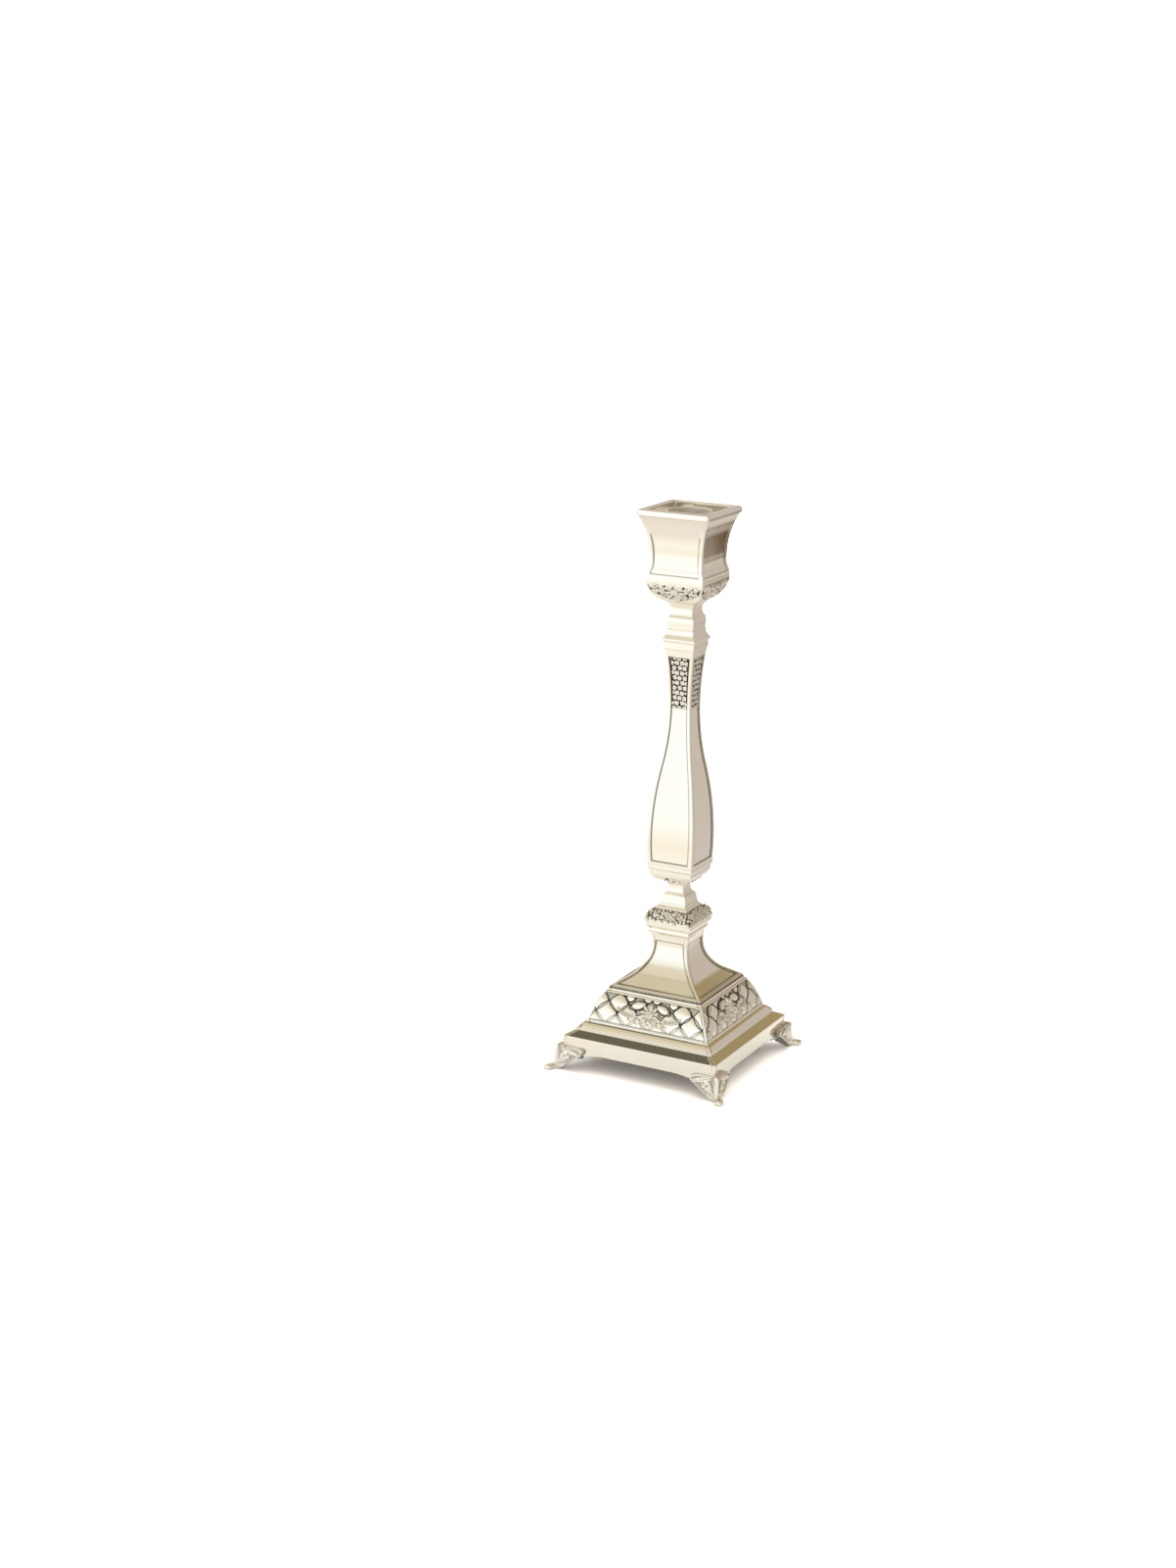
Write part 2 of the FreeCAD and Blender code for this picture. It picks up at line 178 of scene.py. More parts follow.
def with_levels(points, levels):
    """Adds a point wherever the line crosses one of the heights."""
    out = [points[0]]
    for start, end in zip(points, points[1:]):
        crossed = [z for z in levels if min(start[1], end[1]) + 0.01 < z < max(start[1], end[1]) - 0.01]
        for z in sorted(crossed, reverse=bool(start[1] > end[1])):
            out.append(start + (end - start) * (z - start[1]) / (end[1] - start[1]))
        out.append(end)
    return np.array(out)


def run_along(points):
    """How far along the line each of its points lies."""
    return np.concatenate([[0], np.cumsum(np.hypot(*np.diff(points, axis=0).T))])


def normals_of(points):
    """Outward normals of a line of points, each the mean of its two runs'."""
    runs = np.diff(points, axis=0)
    runs = runs / np.maximum(np.hypot(runs[:, 0], runs[:, 1]), 1e-9)[:, None]
    mean = np.vstack([runs[:1], (runs[1:] + runs[:-1]) / 2, runs[-1:]])
    mean /= np.maximum(np.hypot(mean[:, 0], mean[:, 1]), 1e-9)[:, None]
    return np.stack([mean[:, 1], -mean[:, 0]], 1)


# ---- relief

def step_up(values, low, high):
    t = np.clip((values - low) / (high - low), 0, 1)
    return t * t * (3 - 2 * t)


def dome(share):
    """A half ellipse: 1 at 0, falling to 0 at 1."""
    return np.sqrt(np.clip(1 - share * share, 0, 1))


def highest(*heights):
    return np.maximum.reduce(heights)


def bead(X, Y, x, y, radius, height):
    return height * dome(np.hypot(X - x, Y - y) / radius)


def leaf(X, Y, x, y, angle, length, width, height, blunt=0.7, fold=0.35, veins=0):
    """A leaf or petal that starts at (x, y) and points along the angle, in degrees."""
    c, s = math.cos(math.radians(angle)), math.sin(math.radians(angle))
    along = ((X - x) * c + (Y - y) * s) / length
    across = ((Y - y) * c - (X - x) * s) / (width / 2)
    t = np.clip(along, 1e-4, 1 - 1e-4)
    half = np.sin(math.pi * t ** 0.8) ** blunt
    shape = dome(across / half) * (along > 0) * (along < 1)
    shape = shape * (0.55 + 0.45 * np.sin(math.pi * t))
    crease = 1 - fold * np.exp(-(across / 0.2) ** 2)
    if veins:
        phase = 2 * math.pi * veins * (t - 0.35 * np.abs(across))
        crease = crease * (1 - 0.22 * (0.5 + 0.5 * np.cos(phase)))
    return height * shape * crease


def flower(X, Y, x, y, radius, petals, height, turn):
    """Petals round a bead, the first one turned by that many degrees."""
    out = bead(X, Y, x, y, radius * 0.3, height)
    for petal in range(petals):
        angle = turn + 360 * petal / petals
        width = 2.1 * radius * math.sin(math.pi / petals) * 0.8
        out = np.maximum(out, leaf(X, Y, x, y, angle, radius, width, height * 0.85, 0.45, 0.3))
    return out


def florets(X, Y, spots, size, height):
    """Small four-petalled flowers, each turned its own way, at the spots given."""
    surface = np.zeros(X.shape)
    for k, (x, y) in enumerate(spots):
        radius = size * (0.88 + 0.18 * math.cos(2.4 * k))
        rise = height * (0.85 + 0.15 * math.sin(1.7 * k))
        surface = np.maximum(surface, flower(X, Y, x, y, radius, 4, rise, 137.5 * k))
    return surface


def packed(half, low, high, step):
    """Spots packed in staggered, slightly uneven columns between two curves of x."""
    spots = []
    for column in range(-int(half / step), int(half / step) + 1):
        x = column * step
        y = low(abs(x)) + (0.5 * step if column % 2 else 0.1)
        while y < high(abs(x)):
            aside, onwards = 0.2 * math.sin(5 * x + 3 * y), 0.15 * math.cos(4 * x - y)
            spots.append((x + step * aside, y + step * onwards))
            y += step
    return spots


def strap(X, Y, points, width, height):
    """A rounded strap along a line of points."""
    nearest = np.full(X.shape, 1e9)
    for (x0, y0), (x1, y1) in zip(points, points[1:]):
        run_x, run_y = x1 - x0, y1 - y0
        t = np.clip(((X - x0) * run_x + (Y - y0) * run_y) / (run_x ** 2 + run_y ** 2), 0, 1)
        nearest = np.minimum(nearest, np.hypot(X - x0 - t * run_x, Y - y0 - t * run_y))
    return height * dome(nearest / (width / 2))


def curl(x, y, radius, start, turns):
    """Points of a scroll that winds in round (x, y), from the start angle in degrees."""
    shrink, points = 0.25, 18
    out = []
    for i in range(points + 1):
        t = i / points
        angle = math.radians(start + 360 * turns * t)
        reach = radius * (1 - (1 - shrink) * t)
        out.append((x + reach * math.cos(angle), y + reach * math.sin(angle)))
    return out


def blurred(height, size):
    """A moving mean over a square of about that many points, run twice."""
    for _ in range(4):
        padded = np.pad(height, ((size // 2 + 1, size - size // 2), (0, 0)), mode="edge")
        total = np.cumsum(padded, axis=0)
        height = ((total[size:] - total[:-size])[:len(height)] / size).T
    return height


def hollows(height, size, depth):
    """From 0 on the high points to 1 where the relief lies that deep below what is round it."""
    return np.clip((blurred(height, size) - height) / depth, 0, 1)


# ---- meshes

def add_object(name, data):
    obj = bpy.data.objects.new(name, data)
    bpy.context.scene.collection.objects.link(obj)
    return obj


def to_piece(name, vertices, faces, oxide_and_shade, body, nodes, material):
    """A smooth mesh piece that rides on its body and stands for its CAD nodes."""
    mesh = bpy.data.meshes.new(name)
    mesh.from_pydata((vertices.reshape(-1, 3) * MM).tolist(), [], faces)
    mesh.validate()
    mesh.shade_smooth()
    # per point, how dark the surface is painted: oxide, and painted shade in hollows
    attribute = mesh.attributes.new("oxide_and_shade", "FLOAT", "POINT")
    attribute.data.foreach_set("value", oxide_and_shade.ravel().astype(np.float32))
    piece = add_object(name, mesh)
    even = piece.modifiers.new("even_normals", "WEIGHTED_NORMAL")
    even.keep_sharp = True
    mesh.materials.append(material)
    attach(piece, body)
    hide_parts(*nodes)


def grid_faces(rows, columns, wrap_rows, wrap_columns, first=0):
    """Quads over a grid of points, which may close on itself either way."""
    index = first + np.arange(rows * columns).reshape(rows, columns)
    if wrap_rows:
        index = np.vstack([index, index[:1]])
    if wrap_columns:
        index = np.hstack([index, index[:, :1]])
    quads = np.stack([index[:-1, :-1], index[:-1, 1:], index[1:, 1:], index[1:, :-1]], -1)
    return quads.reshape(-1, 4).tolist()


def capped(rows, columns, first=0):
    """The faces of a tube of rows, with a cap at each end."""
    faces = grid_faces(rows, columns, False, True, first)
    last = first + (rows - 1) * columns
    faces.append(list(range(first, first + columns))[::-1])
    faces.append(list(range(last, last + columns)))
    return faces


def turned(points, quarter_turns):
    """Turns points about the axis, from the front side to the next ones."""
    points = np.asarray(points)
    for _ in range(quarter_turns % 4):
        points = np.stack([-points[..., 1], points[..., 0], points[..., 2]], -1)
    return points


class Face:
    """One side of a square storey, seen square on: where each point of its grid is."""

    def __init__(self, profile, columns, inner, radius):
        h = profile[:, :1]
        radius = np.minimum(radius, 0.3 * h)
        from_edge = np.minimum(np.maximum(np.array(columns)[None, :], radius), 0.9 * h)
        last = h - from_edge[:, -1:]
        middle = last * np.linspace(-1, 1, inner + 2)[None, 1:-1]
        self.x = np.hstack([from_edge - h, middle, (h - from_edge)[:, ::-1]])
        self.half = np.repeat(h, self.x.shape[1], 1)
        self.z = np.repeat(profile[:, 1:], self.x.shape[1], 1)
        self.edge = self.half - np.abs(self.x)
        self.along = np.repeat(run_along(profile)[:, None], self.x.shape[1], 1)
        self.radius = radius

    def along_at(self, height):
        return self.along[np.argmin(np.abs(self.z[:, 0] - height))][0]


def rounded_corner(centre, reach, z, angles):
    """Columns of points round the corner after a side, about its centre and at those angles."""
    columns = []
    for angle in angles:
        c, s = math.cos(math.radians(angle)), math.sin(math.radians(angle))
        columns.append(np.stack([centre + reach * s, -(centre + reach * c), z], -1))
    return columns


def bored(outline, step=0.5):
    """A closed profile, up the outline and back down the bore."""
    return np.vstack([[[BORE, outline[0][1]]], expand(outline, step), [[BORE, outline[-1][1]]]])


def storey(name, profile, node, material, columns, inner, radius, relief=None, shape=None):
    """A closed square storey: the profile is a closed loop, so it holds the bore or hollow too.

    The columns are distances from a side's edges, with so many inner ones between them.
    """
    face = Face(profile, columns, inner, radius)
    raised, oxide_and_shade = relief(face) if relief else (0 * face.x, 0 * face.x)
    normal = normals_of(profile)
    out, up = normal[:, :1], normal[:, 1:]
    z = shape(face) if shape else face.z
    side = np.stack([face.x, -(face.half + raised * out), z + raised * up], -1)
    centre = face.half[:, :1] - face.radius
    reach = face.radius + raised[:, -1:] * out
    corner = rounded_corner(centre, reach, z[:, -1:] + raised[:, -1:] * up, (30, 60))
    quarter = np.concatenate([side] + corner, 1)
    quarter_oxide_and_shade = np.hstack([oxide_and_shade] + [oxide_and_shade[:, -1:]] * 2)
    ring = np.concatenate([turned(quarter, k) for k in range(4)], 1)
    ring_oxide_and_shade = np.hstack([quarter_oxide_and_shade] * 4)
    rows, count = ring.shape[:2]
    faces = grid_faces(rows, count, True, True)
    to_piece(name, ring, faces, ring_oxide_and_shade, "stick", [node], material)


def plates(name, front, back, oxide_and_shade, node):
    """A closed plate on each side, between two grids of points of the same size."""
    rows, columns = front.shape[:2]
    count = rows * columns
    faces = grid_faces(rows, columns, False, False)
    faces += [face[::-1] for face in grid_faces(rows, columns, False, False, count)]
    index = np.arange(count).reshape(rows, columns)
    rim = np.concatenate([index[0], index[1:, -1], index[-1, -2::-1], index[-2:0:-1, 0]])
    for a, b in zip(rim, np.roll(rim, -1)):
        faces.append([int(b), int(a), int(a) + count, int(b) + count])
    points = np.concatenate([front.reshape(-1, 3), back.reshape(-1, 3)])
    # the plates' hidden backs are painted evenly dark: oxide and painted shade
    values = np.concatenate([oxide_and_shade.ravel(), np.full(count, 0.6)])
    for k, side in enumerate(SIDES):
        to_piece(name + side, turned(points, k), faces, values, "stick", [node + side], deep_shade_silver)


def strip(side, step, span, border, rows, columns):
    """A grid just inside a panel: X across it, half widths H and heights Z, and its profile."""
    side = expand(side, step)
    z = np.linspace(span[0] + 0.1, span[1] - 0.1, rows)
    h = np.interp(z, side[:, 1], side[:, 0])
    X = np.linspace(-1, 1, columns)[None, :] * (h - border - 0.1)[:, None]
    H, Z = np.repeat(h[:, None], columns, 1), np.repeat(z[:, None], columns, 1)
    return X, H, Z, np.stack([h, z], 1)


# ---- materials

def add(tree, kind, **settings):
    """A new shader node, its sockets and settings given by name."""
    node = tree.nodes.new("ShaderNode" + kind)
    for key, value in settings.items():
        if key in node.inputs:
            node.inputs[key].default_value = value
        else:
            setattr(node, key, value)
    return node


def feed(tree, value, socket):
    """Links an output to the socket, or sets the socket to a number or an opaque colour."""
    if isinstance(value, bpy.types.NodeSocket):
        tree.links.new(value, socket)
    else:
        socket.default_value = value + (1,) if isinstance(value, tuple) else value


def math_node(tree, operation, *values, clamp=False):
    node = add(tree, "Math", operation=operation, use_clamp=clamp)
    for socket, value in zip(node.inputs, values):
        feed(tree, value, socket)
    return node.outputs[0]


def noise(tree, coordinates, scale, detail, stretch=(1, 1, 1)):
    mapping = add(tree, "Mapping", Scale=stretch)
    tree.links.new(coordinates, mapping.inputs["Vector"])
    node = add(tree, "TexNoise", Scale=scale, Detail=detail)
    tree.links.new(mapping.outputs[0], node.inputs["Vector"])
    return node.outputs["Fac"]


def blend_colours(tree, share, first, second):
    node = add(tree, "Mix", data_type="RGBA")
    tree.links.new(share, node.inputs["Factor"])
    feed(tree, first, node.inputs[6])
    feed(tree, second, node.inputs[7])
    return node.outputs[2]


WAVE_DEPTH, MARK_DEPTH, PIT_DEPTH = 2.2e-5, 1.2e-6, 1.6e-5


def bump(tree, height, depth, strength, under=None):
    """A bump of that depth in metres, on top of another one."""
    node = add(tree, "Bump", Distance=depth)
    tree.links.new(height, node.inputs["Height"])
    feed(tree, strength, node.inputs["Strength"])
    if under is not None:
        tree.links.new(under, node.inputs["Normal"])
    return node.outputs[0]


def metal(name, colour, warm, roughness, oxide_and_shade_colour=(0.078, 0.058, 0.028), waviness=1.0):
    """Polished plate: clouded warm tint, fine polishing marks, a wavy cast surface, and a dark
    colour in the hollows that the piece's own mesh marks, partly oxide and partly painted shade."""
    material = bpy.data.materials.new(name)
    material.use_nodes = True
    tree = material.node_tree
    shader = tree.nodes["Principled BSDF"]
    shader.inputs["Metallic"].default_value = 1.0
    place = add(tree, "TexCoord").outputs["Object"]

    clouds = noise(tree, place, 38, 4)
    grain = noise(tree, place, 1500, 3)
    wave = noise(tree, place, 55, 1)
    marks = noise(tree, place, 420, 3, (1, 1, 0.12))
    # how dark each point is painted: oxide in the hollows, and painted shade there
    hollow = add(tree, "Attribute", attribute_name="oxide_and_shade").outputs["Fac"]

    spread = math_node(tree, "MULTIPLY_ADD", grain, 0.9, 0.55)
    dark = math_node(tree, "MULTIPLY", hollow, spread, clamp=True)
    bright = blend_colours(tree, math_node(tree, "MULTIPLY", clouds, 0.8), colour, warm)
    tree.links.new(blend_colours(tree, dark, bright, oxide_and_shade_colour), shader.inputs["Base Color"])

    rough = math_node(tree, "MULTIPLY_ADD", marks, roughness, roughness * 0.5)
    rough = math_node(tree, "ADD", rough, math_node(tree, "MULTIPLY", dark, 0.38))
    tree.links.new(rough, shader.inputs["Roughness"])

    swell = bump(tree, wave, waviness * WAVE_DEPTH, 1.0)
    brushed = bump(tree, marks, MARK_DEPTH, 1.0, swell)
    tree.links.new(bump(tree, grain, PIT_DEPTH, dark, brushed), shader.inputs["Normal"])
    return material


polished = metal("polished_silver", (0.90, 0.87, 0.80), (0.86, 0.81, 0.70), 0.075)
nozzle_silver = metal("nozzle_silver", (0.93, 0.90, 0.84), (0.90, 0.86, 0.77), 0.15, waviness=0.6)
relief_silver = metal("relief_silver", (0.90, 0.87, 0.79), (0.84, 0.78, 0.66), 0.11, waviness=0.5)
# for the trellis and plaque plates: the near-black colour in their hollows is painted shade with some
# oxide
deep_shade_silver = metal("deep_shade_silver", (0.92, 0.89, 0.81), (0.86, 0.81, 0.70), 0.11,
                       oxide_and_shade_colour=(0.022, 0.016, 0.007), waviness=0.5)
foot_silver = metal("foot_silver", (0.90, 0.87, 0.80), (0.85, 0.80, 0.70), 0.12, waviness=0.5)
satin_silver = metal("satin_silver", (0.93, 0.90, 0.83), (0.88, 0.83, 0.72), 0.5, waviness=0.6)
steel = metal("zinc_steel", (0.60, 0.60, 0.58), (0.52, 0.50, 0.45), 0.3, waviness=0.2)


# ---- base

TRELLIS_SIDE = BASE_OUTLINE[7:9]
TRELLIS_BORDER, TRELLIS_SINK, TRELLIS_SPAN = 1.3, 1.1, (27.0, 41.2)
PYRAMID_BORDER, PYRAMID_SINK, PYRAMID_SPAN = 2.3, 0.65, (45.6, 68.2)
PANEL_WALL = 0.2  # half the width over which a panel's edge drops
LINE_WIDTH = 0.33  # of the oxide and painted shade along a panel's walls
ARCH_RISE, ARCH_HALF, ARCH_REACH = 1.1, (31.0, 21.0), 18.0  # the arch between the feet
LEDGE_UNDERSIDE, OVER_FIRST, OVER_SECOND = 43.75, 26.35, 21.8  # heights of painted shade lines under the mouldings


def panel(face, border, low, high):
    """1 inside a panel, 0 on its border."""
    wall = PANEL_WALL
    inside = step_up(face.edge, border - wall, border + wall) * step_up(face.z, low - wall, low + wall)
    return inside * step_up(-face.z, -high - wall, -high + wall)


def panel_columns(border):
    """Columns close enough together to draw the walls at a panel's sides."""
    return (0.0, border * 0.5) + tuple(border + k * PANEL_WALL for k in range(-4, 5))


def panel_levels(low, high):
    """The same for the heights of a panel's ends."""
    return [z + k * PANEL_WALL for z in (low, high) for k in range(-4, 5)]


def panel_wall_oxide_and_shade(face, border, low, high):
    """Oxide and painted shade along the foot of a panel's walls."""
    from_side = np.abs(face.edge - border)
    from_end = np.minimum(np.abs(face.z - low), np.abs(face.z - high))
    shaded_sides = (face.z > low - 0.3) & (face.z < high + 0.3)
    within = face.edge > border - 0.3
    at_side = np.exp(-(from_side / LINE_WIDTH) ** 2) * shaded_sides
    at_end = np.exp(-(from_end / LINE_WIDTH) ** 2) * within
    return 0.8 * np.maximum(at_side, at_end)


def base_relief(face):
    """The sunk band for the trellis and the pyramid's panels; painted shade under the mouldings, and
    oxide with painted shade in the sunk band and along the panels' walls.
    """
    outer = face.along > face.along[np.argmax(face.half[:, 0])][0]
    band = panel(face, TRELLIS_BORDER, *TRELLIS_SPAN) * outer
    slope = panel(face, PYRAMID_BORDER, *PYRAMID_SPAN) * outer
    raised = -TRELLIS_SINK * band - PYRAMID_SINK * slope
    line = panel_wall_oxide_and_shade(face, PYRAMID_BORDER, *PYRAMID_SPAN)
    # painted shade: dark lines under the ledges of the mouldings
    shade_under_ledges = 0.85 * np.exp(-((face.z - LEDGE_UNDERSIDE) / 0.6) ** 4)
    shade_under_ledges += 0.6 * np.exp(-((face.z - OVER_FIRST) / 0.3) ** 2)
    shade_under_ledges += 0.35 * np.exp(-((face.z - OVER_SECOND) / 0.5) ** 2)
    return raised, np.maximum(np.maximum(0.8 * band, line), shade_under_ledges) * outer


def base_arch(face):
    """Lifts the skirt's lower edge between the feet, and the wall above it in proportion."""
    rise = ARCH_RISE * step_up(-np.abs(face.x), -ARCH_HALF[0], -ARCH_HALF[1])
    share = np.clip((ARCH_REACH - face.z) / (ARCH_REACH - SKIRT_FOOT), 0, 1)
    return face.z + rise * share


def base():
    inside, outside = expand(BASE_INSIDE), expand(BASE_OUTLINE)
    loop = np.vstack([[[BORE, BASE_INSIDE[0][1]]], inside, outside, [[BORE, BASE_TOP]]])
    loop = divide(soften(loop), SKIRT_FOOT, ARCH_REACH, 1.0)
    loop = with_levels(loop, panel_levels(*TRELLIS_SPAN) + panel_levels(*PYRAMID_SPAN))
    columns = sorted(set(panel_columns(TRELLIS_BORDER) + panel_columns(PYRAMID_BORDER)))
    storey("base_casting", loop, "base_shell", polished, columns, 36, 0.4, base_relief, base_arch)


# ---- trellis
# A diagonal lattice of pillows, with a flower spray laid over its middle

PILLOW_STEP = (6.25, 6.4)  # from one pillow to the next, across and up
PILLOW_ROW = 11.3  # the upper row's distance up the band
ALMOND = (7.4, 11.5, 158.0)  # place and tilt of the long pillows beside the spray


def pillow(X, Y, x, y, wide, high, height, bluntness=1.35):
    """A cushion shaped like a lozenge with rounded corners, and the line round its foot."""
    reach = (np.abs(X - x) / wide) ** bluntness + (np.abs(Y - y) / high) ** bluntness
    cushion = height * np.sqrt(np.clip(1 - reach ** (2.4 / bluntness), 0, 1))
    return cushion, np.exp(-((reach ** (1 / bluntness) - 1.0) * min(wide, high) / 0.42) ** 2)


def chased(X, Y):
    """Small uneven facets that make a chased surface glitter."""
    first = np.cos(2 * math.pi * X / 1.55 + 1.3 * np.sin(2 * math.pi * Y / 2.3))
    return first * np.cos(2 * math.pi * Y / 1.35 + 1.1 * np.sin(2 * math.pi * X / 2.9))


def cushions(X, Y):
    """Heights of the trellis's cushions and the dark lines round them, oxide and painted shade, X across
    and Y up the band.
    """
    height, line = np.zeros(X.shape), np.zeros(X.shape)
    shapes = []
    for row in range(3):
        for column in range(-6, 7):
            x, y = column * PILLOW_STEP[0], PILLOW_ROW - row * PILLOW_STEP[1]
            if row == 0 and abs(column) == 3:
                shapes.append((X, Y, x, y - 0.3, 5.4, 4.7, 1.5, 1.5))
            elif (row + column) % 2 and not (row == 0 and abs(column) == 1):
                shapes.append((X, Y, x, y, 6.0, 6.1, 1.4))
    for side in (-1, 1):
        u = X * side
        c, s = math.cos(math.radians(ALMOND[2])), math.sin(math.radians(ALMOND[2]))
        along = (u - ALMOND[0]) * c + (Y - ALMOND[1]) * s
        shapes.append((along, (Y - ALMOND[1]) * c - (u - ALMOND[0]) * s, 0, 0, 5.0, 2.4, 1.4, 1.5))
        shapes.append((u, Y, 12.7, 14.9, 2.6, 2.4, 1.0, 1.5))
        shapes.append((u, Y, 2.6, 15.6, 2.6, 2.0, 1.0, 1.5))
    for shape in shapes:
        cushion, edge = pillow(*shape)
        height, line = np.maximum(height, cushion), np.maximum(line, edge)
    return height, line


def spray_height(X, Y):
    """The leafy middle of the trellis, with a ribbon on each side of it."""
    spray = flower(X, Y, 0, 7.6, 2.6, 6, 1.8, 30)
    small = [(6.4, 3.2), (8.6, 5.6), (5.6, 5.4), (10.4, 4.0)]
    for side in (-1, 1):
        u = X * side
        leaves = [leaf(u, Y, *place, 1.5, veins=4) for place in (
            (1.6, 9.2, 50, 4.0, 2.0), (2.0, 6.8, -18, 4.2, 2.0), (1.4, 5.6, -52, 3.8, 1.9),
            (0.4, 9.8, 84, 4.0, 1.9), (2.2, 8.2, 16, 3.6, 1.8), (0.4, 5.0, -86, 3.2, 1.6))]
        spray = highest(spray, florets(u, Y, small, 1.4, 1.3), *leaves)
        for drop, width in ((0.0, 0.8), (1.3, 0.7)):
            route = [(3.5 + 1.5 * i, 8.4 - drop - 2.3 * math.sin(math.pi * i / 10)) for i in range(11)]
            spray = np.maximum(spray, strap(u, Y, route, width, 1.25))
    return spray * (1 + 0.12 * chased(X, Y))


def trellis_height(X, Y):
    """The height over the sunk ground, and how dark oxide and painted shade make it there."""
    height, line = cushions(X, Y)
    spray = spray_height(X, Y)
    clearing = np.clip(blurred((spray > 0.25).astype(float), 3) * 1.6, 0, 1)
    surface = np.maximum(height * (1 - clearing), spray)
    # the lines round the cushions and the bare ground are painted shade with oxide; the lines are darker
    # towards the top of the band
    upper = 0.45 + 0.5 * step_up(Y, 1.5, 6.5)
    oxide_and_shade = line * upper * (1 - clearing) + 0.45 * (surface < 0.1)
    oxide_and_shade += 0.9 * hollows(spray, 7, 0.5) * clearing
    return surface, np.clip(oxide_and_shade, 0, 1)


def trellis():
    X, H, Z, profile = strip(TRELLIS_SIDE, 0.2, TRELLIS_SPAN, TRELLIS_BORDER, 96, 420)
    Y = np.repeat(run_along(profile)[:, None], X.shape[1], 1)
    normal = normals_of(profile)
    out, rise = normal[:, :1], normal[:, 1:]
    height, oxide_and_shade = trellis_height(X, Y)
    top = height - TRELLIS_SINK + 0.12
    front = np.stack([X, -(H + top * out), Z + top * rise], -1)
    back = np.stack([X, -(H - TRELLIS_SINK * out), Z - TRELLIS_SINK * rise], -1)
    plates("trellis_relief_", front, back, oxide_and_shade, "trellis_")


# ---- stem

KNOP_RELIEF = (79.6, 87.0)
KNOP_NECK = 8.7  # the relief keeps to where half the width is more than this


def knop_relief(face):
    """A garland of leaves and small flowers round the knop's shoulder."""
    X, Y = face.x, face.along - face.along_at(KNOP_RELIEF[0])
    outer = (face.z > KNOP_RELIEF[0]) & (face.z < KNOP_RELIEF[1]) & (face.half > KNOP_NECK)
    spots = packed(12.6, lambda x: 0.9, lambda x: 8.2 - 0.16 * x, 2.0)
    height = highest(florets(X, Y, spots, 1.15, 1.5), flower(X, Y, 0, 4.2, 2.2, 5, 1.15, 30))
    for u in (-X, X):
        height = highest(
            height,
            leaf(u, Y, 1.8, 4.6, 24, 4.0, 1.9, 1.05, veins=3),
            leaf(u, Y, 1.8, 3.6, -26, 4.0, 1.9, 1.05, veins=3),
            flower(u, Y, 7.4, 4.0, 1.8, 5, 1.1, 54))
    height = height * (1 + 0.2 * chased(X, Y)) * outer
    ground = outer * step_up(Y, 0.6, 1.6) * step_up(-face.z, -86.6, -86.0)
    # oxide and painted shade on the sunk ground and in the garland's hollows
    oxide_and_shade = ground * np.clip(0.6 - 0.8 * height, 0.04, 1) + hollows(height, 4, 0.28) * outer
    return height - 0.35 * ground, np.clip(oxide_and_shade, 0, 1)


def knop():
    loop = divide(soften(bored(KNOP_OUTLINE), 0.2), *KNOP_RELIEF, 0.16)
    storey("knop_casting", loop, "knop", relief_silver, (0.0, 0.15, 0.3, 0.45), 150, 0.3, knop_relief)


def waist():
    loop = soften(bored(SPOOL_OUTLINE), 0.2)
    storey("waist_casting", loop, "waist_spool", polished, (0.0, 0.5), 6, 0.3)


PLAQUE_BORDER, PLAQUE_SINK, PLAQUE_SPAN = 2.0, 0.9, (195.6, 222.6)
BALUSTER_PANEL, PANEL_SINK = (113.0, 222.6), 0.55
BALUSTER_BORDER = ((112, 130, 165, 190), (2.7, 2.4, 2.1, 2.0))  # heights, and the border there
BALUSTER_SCROLLS = (101.4, 108.0)  # the relief round the foot


def baluster_relief(face):
    """Sunk panels, deeper behind the plaques, and a leaf between scrolls round the foot."""
    outer = face.half > BORE + 0.1
    border = np.interp(face.z, *BALUSTER_BORDER)
    inside = panel(face, border, *BALUSTER_PANEL) * outer
    deeper = panel(face, PLAQUE_BORDER, *PLAQUE_SPAN) * outer
    raised = -PANEL_SINK * inside - (PLAQUE_SINK - PANEL_SINK) * deeper
    X, Y = face.x, face.along - face.along_at(BALUSTER_SCROLLS[0])
    scrolls = leaf(X, Y, 0, -0.2, 90, 4.6, 3.4, 0.9, 0.5, 0.5)
    for u in (-X, X):
        scrolls = highest(
            scrolls,
            leaf(u, Y, 0.3, 0.2, 42, 4.8, 2.2, 0.75, 0.6, 0.4),
            strap(u, Y, curl(4.3, 3.3, 0.9, -120, 0.8), 0.6, 0.6))
    under = (face.z < BALUSTER_SCROLLS[1]) & outer
    scrolls = scrolls * under
    # oxide and painted shade along the panels' walls and in the scrolls' hollows, and painted shade in
    # the deep sink behind the plaques
    line = panel_wall_oxide_and_shade(face, border, *BALUSTER_PANEL) * outer
    return raised + scrolls, highest(line, hollows(scrolls, 5, 0.4) * under, 0.9 * deeper)


def baluster():
    loop = divide(soften(bored(BALUSTER_OUTLINE, 2.0), 0.25), 101.0, 107.9, 0.2)
    loop = with_levels(loop, panel_levels(*BALUSTER_PANEL) + panel_levels(PLAQUE_SPAN[0], ABOVE_ALL))
    columns = (0.0, 0.7) + tuple(np.linspace(1.2, 3.1, 14))
    storey("baluster_casting", loop, "baluster", polished, columns, 44, 0.4, baluster_relief)


DIAPER, DIAPER_ROWS = 2.9, 10  # from one small flower of a plaque to the next, and their rows


